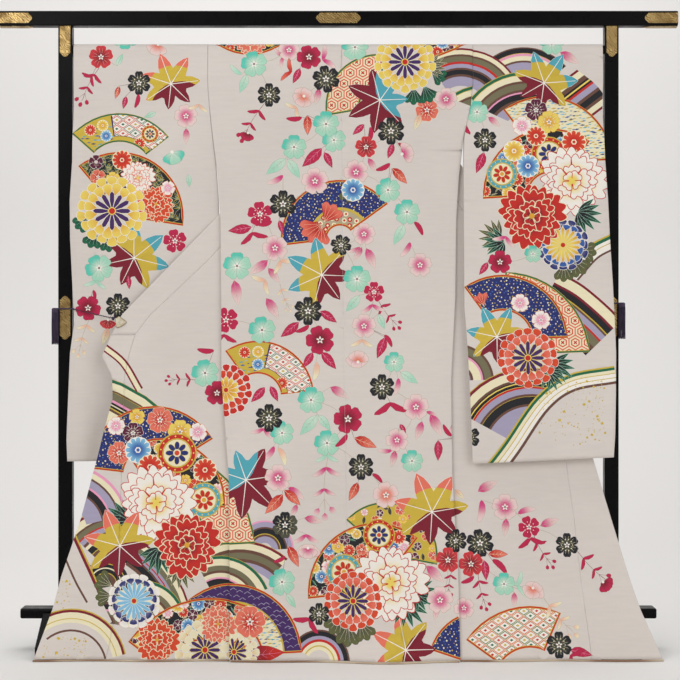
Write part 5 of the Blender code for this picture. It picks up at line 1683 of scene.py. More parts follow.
def edge_piece(kind, side):
    """Collar or overlap: the strip of a front between its seam and its outer edge."""
    outward = -1.0 if side == "left" else 1.0
    ranges = {"collar": (COLLAR_END_Z + 0.5 * GAP, SHOULDER_Z), "overlap": (HEM_Z, COLLAR_END_Z - 0.5 * GAP)}
    rows = levels(*ranges[kind], cloth().pitch)

    def seam(z):
        return wing(side + "_seam", z) + outward * 0.5 * GAP

    def edge(z):
        return wing(side + "_edge", z)

    def surface(x, z):
        room = sunk(x, *(side_of(z) for side_of in sides))
        return np.stack((x, outer_leg(x, z) - creased(x, z, FRONT_CREASES) + room + AXIS_Y, z), axis=-1)

    sides = (edge, seam) if side == "left" else (seam, edge)
    grid = strip(*(side_of(rows) for side_of in sides), rows, cloth().pitch)
    return kind + "_" + side, grid, surface, "L" if side == "left" else "R"


def neck_piece():
    """The collar behind the neck, turned down on the far side of the rod."""
    rows = levels(ROD_Z - COLLAR_HEIGHT, ROD_Z + NECK_RISE, cloth().pitch)

    def surface(x, z):
        return np.stack((-x, FOLD_RADIUS + GAP + SOLID_WALL + AXIS_Y + 0.0 * x, z), axis=-1)

    left, right = np.full_like(rows, -NECK[1]), np.full_like(rows, -NECK[0])
    return "collar_neck", strip(left, right, rows, cloth().pitch), surface, "N"


def sleeve_piece(side):
    """One width folded over the rod: near layer up, far layer down, pinched where it is sewn shut."""
    face = left_sleeve_face if side == "left" else right_sleeve_face

    def inner(z):
        return sleeve(side + "_inner", z)

    def outer(z):
        return sleeve(side + "_outer", z)

    def tilt(x, z):
        share = np.clip((x - inner(z)) / (outer(z) - inner(z)), 0.0, 1.0)
        return (RIGHT_SLEEVE_TILT if side == "right" else 0.0) * share * smooth((TILT_Z - z) / TILT_FALL)

    def near(x, z):
        edge = np.abs(outer(z) - x)
        rounding = SLEEVE_ROUNDING * np.exp(-(edge / ROUNDING_WIDTH) ** 2) * smooth((CUFF_Z - z) / CUFF_FALL)
        return face(x, z) - creased(x, z, SLEEVE_CREASES) + rounding

    def far(x, z):
        share = smooth((ROD_Z - z) / BAG_FALL)
        room = 2.0 * FOLD_RADIUS * (1.0 - share) + BAG_DEPTH[side] * share
        sewn = np.exp(-(np.abs(outer(z) - x) / SEWN_WIDTH) ** 2) * smooth((CUFF_Z - z) / CUFF_FALL)
        sewn = np.maximum(sewn, np.exp(-((z - SLEEVE_END_Z) / SEWN_WIDTH) ** 2))
        shut = 2.0 * cloth().shell + GAP
        return face(x, z) - creased(x, z, SLEEVE_CREASES) + room * (1.0 - sewn) + shut * sewn

    def surface(u, v):
        spot = over_rod(near, far)(u, v)
        spot[..., 2] = spot[..., 2] + tilt(u, spot[..., 2])
        return spot

    known = (*(ROD_Z + share * ROD_RUN for share in (0.0, 0.25, 0.5, 0.75, 1.0)), *SLEEVE_FOLD_LEVELS)
    rows = levels(SLEEVE_END_Z, UP_AND_DOWN - SLEEVE_END_Z, cloth().pitch, known)
    height = np.where(rows < ROD_Z, rows, np.clip(UP_AND_DOWN - rows, None, ROD_Z))
    ends = (outer(height), inner(height)) if side == "left" else (inner(height), outer(height))
    return "sleeve_" + side, strip(*ends, rows, cloth().pitch), surface, "S" if side == "left" else "T"


def make_cloth(panel):
    name, grid, surface, group = panel
    made = cloth_piece(name, grid, surface, group)
    area = abs(signed_area(ring_of(grid)[0]))


# Finishes

class Finish:
    """A Principled material whose nodes are added one by one."""

    def __init__(self, name, colour, roughness, metallic=0.0, **sockets):
        self.material = bpy.data.materials.new(name)
        self.material.use_nodes = True
        self.tree = self.material.node_tree
        self.shader = self.tree.nodes["Principled BSDF"]
        self.shader.inputs["Base Color"].default_value = (*colour, 1.0)
        self.shader.inputs["Roughness"].default_value = roughness
        self.shader.inputs["Metallic"].default_value = metallic
        for socket, value in sockets.items():
            self.shader.inputs[socket.replace("_", " ").title().replace("Ior", "IOR")].default_value = value
        self.place = self.add("ShaderNodeTexCoord", "Object", {})

    def add(self, kind, output, sockets, **settings):
        """Adds a node, gives each of its sockets a plain value or a link, and returns one of its outputs."""
        node = self.tree.nodes.new(kind)
        for name, value in settings.items():
            setattr(node, name, value)
        for name, value in sockets.items():
            socket = node.inputs[name]
            if isinstance(value, bpy.types.NodeSocket):
                self.tree.links.new(value, socket)
            else:
                socket.default_value = (*value, 1.0) if socket.type == "RGBA" else value
        return node.outputs[output]

    def stretched(self, scale):
        """Object coordinates times a scale."""
        return self.add("ShaderNodeMapping", "Vector", {"Vector": self.place, "Scale": scale})

    def noise(self, scale, detail=2.0, vector=None):
        sockets = {"Vector": vector or self.place, "Scale": scale, "Detail": detail}
        return self.add("ShaderNodeTexNoise", "Fac", sockets)

    def wave(self, scale, direction, distortion):
        sockets = {"Vector": self.place, "Scale": scale, "Distortion": distortion}
        return self.add("ShaderNodeTexWave", "Fac", sockets, wave_type="BANDS", bands_direction=direction)

    def cells(self, scale):
        sockets = {"Vector": self.place, "Scale": scale}
        return self.add("ShaderNodeTexVoronoi", "Distance", sockets, feature="DISTANCE_TO_EDGE")

    def maths(self, operation, first, second):
        return self.add("ShaderNodeMath", 0, {0: first, 1: second}, operation=operation)

    def ranged(self, source, low, high, start=0.0, end=1.0):
        sockets = {"Value": source, "From Min": start, "From Max": end, "To Min": low, "To Max": high}
        return self.add("ShaderNodeMapRange", "Result", sockets)

    def mixed(self, share, first, second, blend="MIX"):
        """Two colours, each a socket or a plain colour, mixed by a share."""
        sockets = {0: share, 6: first, 7: second}
        return self.add("ShaderNodeMix", 2, sockets, data_type="RGBA", blend_type=blend)

    def attribute(self, name, output):
        return self.add("ShaderNodeAttribute", output, {}, attribute_name=name)

    def bump(self, height, distance, strength=1.0, after=None):
        sockets = {"Height": height, "Distance": distance, "Strength": strength}
        if after is not None:
            sockets["Normal"] = after
        return self.add("ShaderNodeBump", "Normal", sockets)

    def feed(self, socket, source):
        self.tree.links.new(source, self.shader.inputs[socket])


def weave(finish, threads, depth):
    """Crossed threads with a little crepe: two wave textures and a noise added together."""
    across = finish.wave(threads, "X", 1.2)
    up = finish.wave(threads, "Z", 1.2)
    crepe = finish.noise(420.0, 2.0)
    height = finish.maths("ADD", finish.maths("ADD", across, up), crepe)
    return finish.bump(height, depth)


def stand_colour(name):
    """A colour of the stand, cords or clip in linear light."""
    return tuple(getattr(bpy.context.scene.furisode_stand, name))


@cache
def silk():
    """Dyed satin crepe: colour and gilding come from the panel's own attributes."""
    sheen = {"sheen_weight": 0.18, "sheen_roughness": 0.35}
    finish = Finish("dyed_silk", dye("ground"), 0.52, specular_ior_level=0.34, **sheen)
    dyed = finish.attribute("dye", "Color")
    gilt = finish.attribute("gilt", "Fac")
    cloud = finish.ranged(finish.noise(3.2, 3.0), 0.965, 1.035, 0.3, 0.7)
    slub = finish.ranged(finish.noise(60.0, 3.0, finish.stretched((0.35, 1.0, 2.4))), 0.975, 1.02, 0.3, 0.7)
    shade = finish.maths("MULTIPLY", cloud, slub)
    tone = finish.add("ShaderNodeCombineColor", 0, {0: shade, 1: shade, 2: shade})
    finish.feed("Base Color", finish.mixed(1.0, dyed, tone, "MULTIPLY"))
    leaf = finish.ranged(finish.noise(700.0, 2.0), 0.35, 1.0, 0.42, 0.60)
    metal = finish.maths("MULTIPLY", gilt, leaf)
    finish.feed("Metallic", finish.maths("MULTIPLY", metal, 0.75))
    rough = finish.ranged(finish.noise(35.0), 0.50, 0.56)
    finish.feed("Roughness", finish.maths("SUBTRACT", rough, finish.maths("MULTIPLY", metal, 0.20)))
    woven = weave(finish, 330.0, 0.00008)
    finish.feed("Normal", finish.bump(gilt, 0.00015, 1.0, woven))
    return finish.material


@cache
def lining():
    """Plain pale lining silk."""
    sheen = {"sheen_weight": 0.15, "sheen_roughness": 0.4}
    finish = Finish("lining_silk", (0.70, 0.66, 0.61), 0.5, specular_ior_level=0.3, **sheen)
    tone = finish.ranged(finish.noise(4.0, 3.0), 0.0, 1.0, 0.3, 0.7)
    finish.feed("Base Color", finish.mixed(tone, (0.67, 0.63, 0.58), (0.73, 0.69, 0.64)))
    finish.feed("Roughness", finish.ranged(finish.noise(30.0), 0.46, 0.56))
    finish.feed("Normal", weave(finish, 300.0, 0.00007))
    return finish.material


@cache
def hem_silk():
    """Hem roll: the lining's edge, brown shading to cream in soft lengths."""
    finish = Finish("hem_silk", (0.45, 0.33, 0.24), 0.55, sheen_weight=0.15, specular_ior_level=0.3)
    length = finish.ranged(finish.noise(7.0, 1.0, finish.stretched((1.0, 0.2, 0.2))), 0.0, 1.0, 0.42, 0.60)
    finish.feed("Base Color", finish.mixed(length, (0.30, 0.17, 0.10), (0.62, 0.50, 0.36)))
    finish.feed("Normal", weave(finish, 320.0, 0.0001))
    return finish.material


@cache
def lacquer():
    """Black lacquer: a clear coat over a base whose gloss wanders a little."""
    colour = stand_colour("lacquer")
    finish = Finish("lacquer", colour, 0.30, coat_weight=0.04, coat_roughness=0.22, specular_ior_level=0.06)
    haze = finish.ranged(finish.noise(9.0, 4.0), 0.0, 1.0, 0.35, 0.75)
    finish.feed("Base Color", finish.mixed(haze, colour, (0.003, 0.003, 0.003)))
    finish.feed("Roughness", finish.ranged(finish.noise(22.0, 4.0), 0.22, 0.40, 0.3, 0.7))
    finish.feed("Normal", finish.bump(finish.noise(60.0, 2.0), 0.0002, 0.4))
    return finish.material


@cache
def gilt_metal():
    """Aged gilt plate engraved with fine scrolls on a stippled ground."""
    colour = stand_colour("brass")
    finish = Finish("gilt_metal", colour, 0.36, 1.0, specular_ior_level=0.5)
    scroll = finish.wave(95.0, "DIAGONAL", 9.0)
    stipple = finish.cells(900.0)
    age = finish.ranged(finish.noise(45.0, 4.0), 0.0, 1.0, 0.40, 0.68)
    groove = finish.ranged(scroll, 0.0, 1.0, 0.22, 0.40)
    worn = finish.mixed(age, colour, (0.30, 0.19, 0.07))
    finish.feed("Base Color", finish.mixed(groove, (0.16, 0.10, 0.04), worn))
    finish.feed("Roughness", finish.ranged(age, 0.30, 0.52))
    relief = finish.bump(groove, 0.0004)
    finish.feed("Normal", finish.bump(stipple, 0.00012, 0.5, relief))
    return finish.material


@cache
def cord_silk():
    """Dark purple twisted silk."""
    colour = stand_colour("purple")
    sheen = {"sheen_weight": 0.08, "sheen_roughness": 0.4}
    finish = Finish("cord_silk", colour, 0.62, specular_ior_level=0.25, **sheen)
    strand = finish.noise(320.0, 2.0, finish.stretched((1.0, 1.0, 0.12)))
    pale = finish.ranged(strand, 0.0, 1.0, 0.35, 0.65)
    finish.feed("Base Color", finish.mixed(pale, colour, (0.075, 0.055, 0.095)))
    finish.feed("Normal", finish.bump(strand, 0.0002))
    return finish.material


@cache
def clip_enamel():
    """Ivory enamel of the collar clip."""
    colour = stand_colour("enamel")
    coat = {"coat_weight": 0.4, "coat_roughness": 0.08}
    finish = Finish("clip_enamel", colour, 0.30, specular_ior_level=0.5, **coat)
    tone = finish.ranged(finish.noise(120.0, 3.0), 0.0, 1.0, 0.4, 0.6)
    finish.feed("Base Color", finish.mixed(tone, colour, (0.60, 0.52, 0.36)))
    finish.feed("Roughness", finish.ranged(tone, 0.24, 0.38))
    return finish.material


@cache
def paper():
    """Seamless paper of the floor and backdrop."""
    colour = tuple(bpy.context.scene.furisode_studio.paper)
    finish = Finish("seamless_paper", colour, 0.9, specular_ior_level=0.1)
    return finish.material


# Solid pieces

def mesh_piece(name, spots, faces, material, smooth_shaded=True):
    """A mesh object at the origin from whole arrays of points and faces."""
    mesh = bpy.data.meshes.new(name)
    mesh.from_pydata(spots.reshape(-1, 3).tolist(), [], faces)
    mesh.materials.append(material)
    if smooth_shaded:
        mesh.shade_smooth()
    mesh.update()
    made = bpy.data.objects.new(name, mesh)
    bpy.context.scene.collection.objects.link(made)
    return made


def swept(route, profile, twist=0.0):
    """A profile carried along a route: its angle grows by the twist times the length run."""
    route = np.asarray(route, float)
    ahead = np.gradient(route, axis=0)
    ahead /= np.linalg.norm(ahead, axis=1, keepdims=True)
    run = np.append(0.0, np.cumsum(np.linalg.norm(np.diff(route, axis=0), axis=1)))
    guide = np.array((0.0, 0.0, 1.0))
    side = np.cross(ahead, guide)
    side /= np.linalg.norm(side, axis=1, keepdims=True)
    up = np.cross(side, ahead)
    radius, angle = profile
    turned = twist * run[:, None] - angle[None, :]
    across = radius * np.cos(turned)
    high = radius * np.sin(turned)
    return route[:, None, :] + across[..., None] * side[:, None, :] + high[..., None] * up[:, None, :]


def tube_faces(rings, count, start=0):
    """Quads between rings of a tube, and a polygon over each end."""
    index = np.arange(count)
    base = np.arange(rings - 1)[:, None] * count + start
    after = (index + 1) % count
    quads = np.stack((base + index, base + after, base + count + after, base + count + index), axis=-1)
    first = (start + index[::-1]).tolist()
    last = (start + (rings - 1) * count + index).tolist()
    return quads.reshape(-1, 4).tolist() + [first, last]


def joined(name, parts, material, smooth_shaded=True):
    """One mesh from several lots of points and faces."""
    spots, faces, start = [], [], 0
    for points, polygons in parts:
        points = points.reshape(-1, 3)
        spots.append(points)
        faces += [[start + corner for corner in polygon] for polygon in polygons]
        start += len(points)
    return mesh_piece(name, np.concatenate(spots), faces, material, smooth_shaded)


def outward(spots, faces):
    """A closed shell with its faces turned out: one whose volume is below zero is turned round."""
    spots = spots.reshape(-1, 3)
    middle = spots.mean(axis=0)
    volume = 0.0
    for face in faces:
        corner = spots[list(face)] - middle
        first = np.broadcast_to(corner[0], corner[2:].shape)
        volume += float(np.einsum("ij,ij->", np.cross(corner[1:-1], corner[2:]), first))
    return spots, faces if volume > 0.0 else [face[::-1] for face in faces]


def hoop(route, radius, sides=8, guide=(0.0, 0.0, 1.0)):
    """A closed tube: circles of a radius, square to a closed route that lies about square to the guide."""
    route = np.asarray(route, float)
    ahead = np.roll(route, -1, axis=0) - np.roll(route, 1, axis=0)
    ahead /= np.linalg.norm(ahead, axis=1, keepdims=True)
    side = np.cross(ahead, guide)
    side /= np.linalg.norm(side, axis=1, keepdims=True)
    up = np.cross(side, ahead)
    angle = np.linspace(0.0, 2.0 * math.pi, sides, endpoint=False)[None, :, None]
    spots = route[:, None, :] + radius * (np.cos(angle) * side[:, None, :] + np.sin(angle) * up[:, None, :])
    count = len(route)
    first = np.arange(count)[:, None] * sides
    after = (np.arange(count)[:, None] + 1) % count * sides
    place, beside_it = np.arange(sides), (np.arange(sides) + 1) % sides
    faces = np.stack((first + place, first + beside_it, after + beside_it, after + place), axis=-1)
    return outward(spots, faces.reshape(-1, 4).tolist())


CORD_RADIUS = 0.0020
POST_X = 0.700
RING_REACH = (0.0203, 0.0188)
RING_CORNER = 0.0036
KNOT_SPOT = (-0.5725, 0.8470)
KNOT_RADIUS = 0.0045
CLIP_SPOT = (-0.5560, 0.8385)
CLIP_FAN = (0.012, 0.036, -84.0, -36.0)
CLIP_HALF = 0.0015
CLIP_CLEAR = 0.0009
CLIP_FOLDS = 8
FOLD_SHARE = 0.35
ARC_EDGE = 0.0009
SIDE_EDGE = 0.0008
CORD_BEND = (-0.676, -0.0365)
CORD_DIP = 0.001
CORD_SAG = 0.001
CORD_TAIL = 0.012
TWIST_LENGTH = 0.012
STRAND_SHARES = (0.90, 0.10)
KNOT_CORD = 0.0014
TASSEL_HEAD = 0.013
HEAD = (
    # drop, breadth
    (0.0, 0.45), (0.05, 0.74), (0.20, 0.94), (0.45, 0.98),
    (0.62, 0.88), (0.70, 0.84), (0.78, 0.90), (1.0, 1.0),
)
OVAL_POWER = 0.7
BINDING_LEVELS = (0.64, 0.76)
BINDING_RADIUS = 0.0008
STRANDS = (14, 7)
STRAND_RADIUS = 0.00055
STRAND_LEAN = 0.0010
STRAND_WAVE = 0.0003
STRAND_ROOT = 0.001


def post_ring(side, level):
    """Level ring round a post: four straight sides with a quarter circle at each corner."""
    half_x, half_y = RING_REACH[0] - RING_CORNER, RING_REACH[1] - RING_CORNER
    turn = np.linspace(0.0, 90.0, 5)
    middles = ((half_x, half_y), (-half_x, half_y), (-half_x, -half_y), (half_x, -half_y))
    quarters = [polar(middle, RING_CORNER, 90.0 * number + turn) for number, middle in enumerate(middles)]
    flat = np.concatenate(quarters)
    return np.stack((side * POST_X + flat[:, 0], AXIS_Y + flat[:, 1], np.full(len(flat), level)), axis=1)


def laid_cord(route):
    """Twisted tube along a route: three strands, so its radius has three humps round it."""
    angle = np.linspace(0.0, 2.0 * math.pi, 12, endpoint=False)
    radius = CORD_RADIUS * (STRAND_SHARES[0] + STRAND_SHARES[1] * np.abs(np.cos(1.5 * angle)))
    spots = swept(route, (radius, angle), 2.0 * math.pi / TWIST_LENGTH)
    return outward(spots, tube_faces(len(route), len(angle)))


def tassel(name, material):
    """Head lofted through rounded ovals, two bindings, and strands that hang, wave and thin out."""
    low, high = (np.array(corner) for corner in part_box(name))
    centre, width, depth, top = 0.5 * (low + high), high[0] - low[0], high[1] - low[1], high[2]
    around = np.linspace(0.0, 2.0 * math.pi, 24, endpoint=False)
    across, deep = np.cos(around), np.sin(around)
    oval = np.stack((np.sign(across) * np.abs(across) ** OVAL_POWER * 0.5 * width,
                     np.sign(deep) * np.abs(deep) ** OVAL_POWER * 0.5 * depth, 0.0 * around), axis=1)
    drop, breadth = np.array(HEAD).T[:, :, None, None]
    fall = drop * TASSEL_HEAD * np.array((0.0, 0.0, 1.0))
    head = np.array((centre[0], centre[1], top)) + oval[None] * breadth - fall
    parts = [outward(head, tube_faces(len(HEAD), len(around)))]
    for level in BINDING_LEVELS:
        binding = oval * 0.90 + (centre[0], centre[1], top - level * TASSEL_HEAD)
        parts.append(hoop(binding, BINDING_RADIUS, 6))
    draw = np.random.default_rng(7)
    number = np.arange(STRANDS[0] * STRANDS[1])
    start = np.stack((number % STRANDS[0] + 0.5, number // STRANDS[0] + 0.5), axis=1) / STRANDS - 0.5
    start = (start + 0.02 * (draw.random(start.shape) - 0.5)) * (0.94 * width, 0.92 * depth)
    root = top - TASSEL_HEAD + STRAND_ROOT
    reach = (root - low[2]) * (1.0 - 0.06 * draw.random(len(number)))
    run = np.linspace(0.0, 1.0, 6)
    lean = STRAND_LEAN * (draw.random((len(number), 2)) - 0.5)
    wave = STRAND_WAVE * np.sin(2.0 * math.pi * (run[None, :, None] + draw.random((len(number), 1, 2))))
    flat = start[:, None, :] * (1.0 + 0.05 * run[None, :, None]) + lean[:, None, :] * run[None, :, None]
    flat = flat + wave
    level = root - reach[:, None] * run[None, :]
    line = np.concatenate((centre[:2] + flat, level[..., None]), axis=2)
    corner = np.radians(np.array((90.0, 210.0, 330.0)))
    radius = STRAND_RADIUS * (1.0 - 0.35 * run)
    ring = np.stack((np.cos(corner), np.sin(corner), 0.0 * corner), axis=1)
    strands = line[:, :, None, :] + radius[None, :, None, None] * ring[None, None]
    parts += [outward(strand, tube_faces(len(run), len(corner))) for strand in strands]
    return joined(name + "_silk", parts, material)


def fan_clip():
    """Folded fan leaf in thin enamel, its depth a zigzag of the angle, and its gilt edges."""
    x, z = CLIP_SPOT
    step = 0.01
    slope = math.atan((outer_leg(x, z + step) - outer_leg(x, z - step)) / (2.0 * step))
    depth = outer_leg(x, z) - CLIP_HALF - CLIP_CLEAR + AXIS_Y
    inner, outer, first, last = CLIP_FAN
    middle = math.radians(0.5 * (first + last))
    pivot = -0.5 * (inner + outer) * np.array((math.cos(middle), math.sin(middle)))

    def raised(flat, proud):
        """Points of the leaf's plane, which leans with the cloth, moved proud of it."""
        across, up = flat[..., 0], flat[..., 1]
        return np.stack((x + across, depth + up * math.sin(slope) - proud * math.cos(slope),
                         z + up * math.cos(slope) + proud * math.sin(slope)), axis=-1)

    angle = np.linspace(first, last, 2 * CLIP_FOLDS + 1)
    reach = np.linspace(inner, outer, 5)[:, None]
    flat = polar(pivot, reach, angle[None, :])
    fold = FOLD_SHARE * CLIP_HALF * np.where(np.arange(len(angle)) % 2, 1.0, -1.0)[None, :] * (reach / outer)
    front, back = raised(flat, fold + 0.5 * CLIP_HALF), raised(flat, fold - 0.5 * CLIP_HALF)
    section = np.concatenate((front, back[::-1]), axis=0).transpose(1, 0, 2)
    leaf_parts = [outward(section, tube_faces(section.shape[0], section.shape[1]))]
    arcs = [(polar(pivot, radius, np.linspace(first, last, 14)), ARC_EDGE) for radius in (inner, outer)]
    sides = [(polar(pivot, np.linspace(inner, outer, 6), way), SIDE_EDGE) for way in (first, last)]
    around = np.linspace(0.0, 2.0 * math.pi, 8, endpoint=False)
    rim = []
    for flat, radius in arcs + sides:
        spots = swept(raised(flat, np.zeros(len(flat))), (radius, around))
        rim.append(outward(spots, tube_faces(len(flat), len(around))))
    return leaf_parts, rim


def trefoil(centre):
    """Small knot of cord: x is sin t + 2 sin 2t, z is cos t - 2 cos 2t, and the depth is sin 3t."""
    t = np.linspace(0.0, 2.0 * math.pi, 48, endpoint=False)
    size = 0.30 * KNOT_RADIUS
    route = np.stack((size * (np.sin(t) + 2.0 * np.sin(2.0 * t)), -0.45 * KNOT_RADIUS * np.sin(3.0 * t),
                      size * (np.cos(t) - 2.0 * np.cos(2.0 * t))), axis=1)
    return hoop(np.asarray(centre) + route, KNOT_CORD, 6, (0.0, 1.0, 0.0))


def dress(names, material):
    """Gives CAD solids a finish through their own material slots."""
    for name in names:
        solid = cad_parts[name]
        if not solid.material_slots:
            raise RuntimeError(name + " has no material slot")
        for place in solid.material_slots:
            place.material = material


# The roll's radius: least share, swell, and the rates of its two waves along x
ROLL_SWELL = (0.97, 0.03, 55.0, 23.0)
ROLL_INSET = 0.003


def hem_roll(name, left, right, face):
    """A soft roll along the hem: its round section swells and narrows slowly along its length."""
    x = np.linspace(left, right, 160)
    y = face(x, np.full_like(x, HEM_Z)) + 0.5 * SOLID_WALL + AXIS_Y
    z = np.full_like(x, HEM_ROLL + GAP)
    angle = np.linspace(0.0, 2.0 * math.pi, 12, endpoint=False)
    least, swelling, fast, slow = ROLL_SWELL
    swell = HEM_ROLL * (least + swelling * np.sin(fast * x) * np.sin(slow * x))
    spots = swept(np.stack((x, y, z), axis=1), (swell[:, None], angle))
    made = mesh_piece(name + "_roll", spots, tube_faces(len(x), len(angle)), hem_silk())
    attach(made, "root")
    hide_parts(name)


# Operators

class FURISODE_OT_backs(bpy.types.Operator):
    """Makes the two halves of the back"""
    bl_idname = "furisode.backs"
    bl_label = "Backs"

    def execute(self, context):
        for side in ("left", "right"):
            make_cloth(back_piece(side))
        return {"FINISHED"}


class FURISODE_OT_fronts(bpy.types.Operator):
    """Makes the two fronts, folded behind the back and swung outwards"""
    bl_idname = "furisode.fronts"
    bl_label = "Fronts"

    def execute(self, context):
        for side in ("left", "right"):
            make_cloth(front_piece(side))
        return {"FINISHED"}


class FURISODE_OT_edges(bpy.types.Operator):
    """Makes the overlaps, the collar's two fronts and the collar behind the neck"""
    bl_idname = "furisode.edges"
    bl_label = "Overlaps and collar"

    def execute(self, context):
        for side in ("left", "right"):
            for kind in ("collar", "overlap"):
                make_cloth(edge_piece(kind, side))
        make_cloth(neck_piece())
        return {"FINISHED"}


class FURISODE_OT_sleeves(bpy.types.Operator):
    """Makes the two long sleeves, folded over the rod"""
    bl_idname = "furisode.sleeves"
    bl_label = "Sleeves"

    def execute(self, context):
        for side in ("left", "right"):
            make_cloth(sleeve_piece(side))
        return {"FINISHED"}


class FURISODE_OT_hem_rolls(bpy.types.Operator):
    """Makes the rolled hem of each panel"""
    bl_idname = "furisode.hem_rolls"
    bl_label = "Hem rolls"

    def execute(self, context):
        left, right = float(body("left", 0.0)), float(body("right", 0.0))
        hem_roll("hem_back", left + ROLL_INSET, right - ROLL_INSET, hang)
        hem_roll("hem_left", float(wing("left_edge", 0.0)), left, outer_leg)
        hem_roll("hem_right", right, float(wing("right_edge", 0.0)), outer_leg)
        return {"FINISHED"}


class FURISODE_OT_stand(bpy.types.Operator):
    """Gives the stand and its fittings their finishes"""
    bl_idname = "furisode.stand"
    bl_label = "Stand"

    def execute(self, context):
        wood = ["top_bar", "lower_bar", "sleeve_rod", "post_left", "post_right", "foot_left", "foot_right"]
        dress(wood, lacquer())
        dress([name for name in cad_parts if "plate" in name], gilt_metal())
        return {"FINISHED"}


class FURISODE_OT_cords(bpy.types.Operator):
    """Makes the tie cords, the knot, the tassels and the clip"""
    bl_idname = "furisode.cords"
    bl_label = "Cords"

    def execute(self, context):
        depth = outer_leg(*CLIP_SPOT) - CLIP_HALF - CLIP_CLEAR + AXIS_Y
        knot = np.array((KNOT_SPOT[0], depth, KNOT_SPOT[1]))
        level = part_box("cord_left")[1][2] - CORD_RADIUS
        ring = post_ring(-1.0, level)
        bend = np.array((CORD_BEND[0], CORD_BEND[1] + AXIS_Y, level - CORD_DIP))
        away = (bend - knot) / np.linalg.norm(bend - knot)
        start = knot + KNOT_RADIUS * away
        end = np.array((-POST_X + RING_REACH[0] - RING_CORNER, AXIS_Y - RING_REACH[1], level))
        before, after = 0.5 * (start + bend), 0.5 * (bend + end) + (CORD_SAG, 0.0, 0.0)
        lead = curve((start, before, bend, after, end, end - (CORD_TAIL, 0.0, 0.0)), 12)
        parts = {
            "cord_left": [laid_cord(lead), hoop(ring, CORD_RADIUS)],
            "cord_right": [hoop(post_ring(1.0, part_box("cord_right")[1][2] - CORD_RADIUS), CORD_RADIUS)],
            "cord_knot": [trefoil(knot)],
        }
        for name, lots in parts.items():
            made = joined(name + "_silk", lots, cord_silk())
            self.seat(made, name, "purple_silk")
        for name in ("tassel_left", "tassel_right"):
            self.seat(tassel(name, cord_silk()), name, "purple_silk")
        leaf_parts, rim = fan_clip()
        self.seat(joined("collar_clip_leaf", leaf_parts, clip_enamel(), False), "collar_clip", "clip_enamel")
        edge = joined("collar_clip_edge", rim, gilt_metal())
        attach(edge, "root")
        return {"FINISHED"}

    def seat(self, made, name, slot):
        """The piece rides on the body and stands for its CAD solid."""
        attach(made, "root")
        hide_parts(name)


WORLD_COLOUR = (1.0, 0.99, 0.975, 1.0)
WORLD_STRENGTH = 0.44
LIGHTS = (
    # name, place, target, size, power
    ("key", (-2.3, -3.6, 3.0), (0.0, 0.0, 0.8), 2.4, 62.0),
    ("fill", (2.8, -3.4, 1.6), (0.0, 0.0, 0.8), 2.6, 36.0),
    ("back_wash", (0.0, 0.9, 4.4), (0.0, 2.8, 0.5), 3.4, 88.0),
)
SENSOR_WIDTH = 36.0
FAR_CLIP = 60.0

# Backdrop: two rows of the floor in front of the turn, the turn, the wall, and half the width
FLOOR_ROWS = (-7.0, -2.0)
TURN_UP = 1.4
WALL_Y = 3.4
WALL_TOP = 5.0
HALF_WIDTH = 2.1


class FURISODE_OT_stage(bpy.types.Operator):
    """Makes the floor and backdrop, the lights and the camera"""
    bl_idname = "furisode.stage"
    bl_label = "Stage"

    def execute(self, context):
        studio = context.scene.furisode_studio
        backdrop()
        world = bpy.data.worlds.new("studio")
        world.use_nodes = True
        light = world.node_tree.nodes["Background"]
        light.inputs["Color"].default_value = WORLD_COLOUR
        light.inputs["Strength"].default_value = WORLD_STRENGTH
        context.scene.world = world
        for row in LIGHTS:
            soft_light(*row)
        context.scene.view_settings.view_transform = "Standard"
        lens = bpy.data.cameras.new("camera")
        lens.sensor_width = SENSOR_WIDTH
        lens.lens = studio.focal / studio.picture * lens.sensor_width
        lens.clip_end = FAR_CLIP
        made = bpy.data.objects.new("camera", lens)
        made.location = (studio.camera_x, AXIS_Y - studio.distance, studio.height)
        made.rotation_euler = (math.pi / 2.0, 0.0, 0.0)
        context.scene.collection.objects.link(made)
        context.scene.camera = made
        return {"FINISHED"}


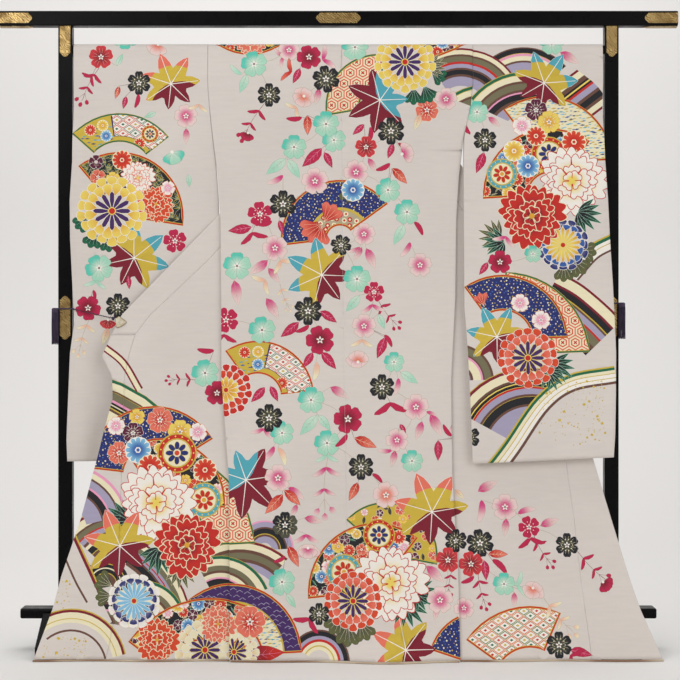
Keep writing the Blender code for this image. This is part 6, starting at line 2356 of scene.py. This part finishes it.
def backdrop():
    """Floor that turns up into a wall: flat, a quarter circle, then upright."""
    turn = np.linspace(0.0, 0.5 * math.pi, 24)
    y = np.concatenate((FLOOR_ROWS, WALL_Y - TURN_UP + TURN_UP * np.sin(turn), [WALL_Y]))
    z = np.concatenate(([0.0, 0.0], TURN_UP - TURN_UP * np.cos(turn), [WALL_TOP]))
    x = np.array((-HALF_WIDTH, HALF_WIDTH))
    spots = np.stack(np.broadcast_arrays(x[None, :], y[:, None], z[:, None]), axis=-1)
    rows = np.arange(len(y) - 1)
    faces = np.stack((2 * rows, 2 * rows + 1, 2 * rows + 3, 2 * rows + 2), axis=1).tolist()
    made = mesh_piece("backdrop", spots, faces, paper())


def soft_light(name, place, target, size, power):
    """A square area light that faces its target."""
    lamp = bpy.data.lights.new(name, "AREA")
    lamp.size = size
    lamp.energy = power
    made = bpy.data.objects.new(name, lamp)
    made.location = place
    aim = np.array(target) - np.array(place)
    flat = math.hypot(aim[0], aim[1])
    made.rotation_euler = (math.atan2(flat, -aim[2]), 0.0, math.atan2(-aim[0], aim[1]))
    bpy.context.scene.collection.objects.link(made)


class FURISODE_PT_panel(bpy.types.Panel):
    """Lists the pieces"""
    bl_label = "Furisode"
    bl_idname = "FURISODE_PT_panel"
    bl_space_type = "VIEW_3D"
    bl_region_type = "UI"
    bl_category = "Furisode"

    def draw(self, context):
        for maker in MAKERS:
            self.layout.operator(maker.bl_idname)


GROUPS = {
    "furisode_cloth": FurisodeCloth, "furisode_stand": FurisodeStand,
    "furisode_dyes": FurisodeDyes, "furisode_studio": FurisodeStudio,
}
MAKERS = (
    FURISODE_OT_stage, FURISODE_OT_cords, FURISODE_OT_stand, FURISODE_OT_hem_rolls, FURISODE_OT_backs,
    FURISODE_OT_fronts, FURISODE_OT_edges, FURISODE_OT_sleeves,
)


def register():
    for kind in (*GROUPS.values(), *MAKERS, FURISODE_PT_panel):
        bpy.utils.register_class(kind)
    for name, kind in GROUPS.items():
        setattr(bpy.types.Scene, name, bpy.props.PointerProperty(type=kind))


def unregister():
    for name in GROUPS:
        delattr(bpy.types.Scene, name)
    for kind in (FURISODE_PT_panel, *reversed(MAKERS), *reversed(GROUPS.values())):
        bpy.utils.unregister_class(kind)


def main():
    register()
    for maker in MAKERS:
        group, name = maker.bl_idname.split(".")
        getattr(getattr(bpy.ops, group), name)()
    bpy.context.view_layer.update()


if __name__ == "__main__":
    main()
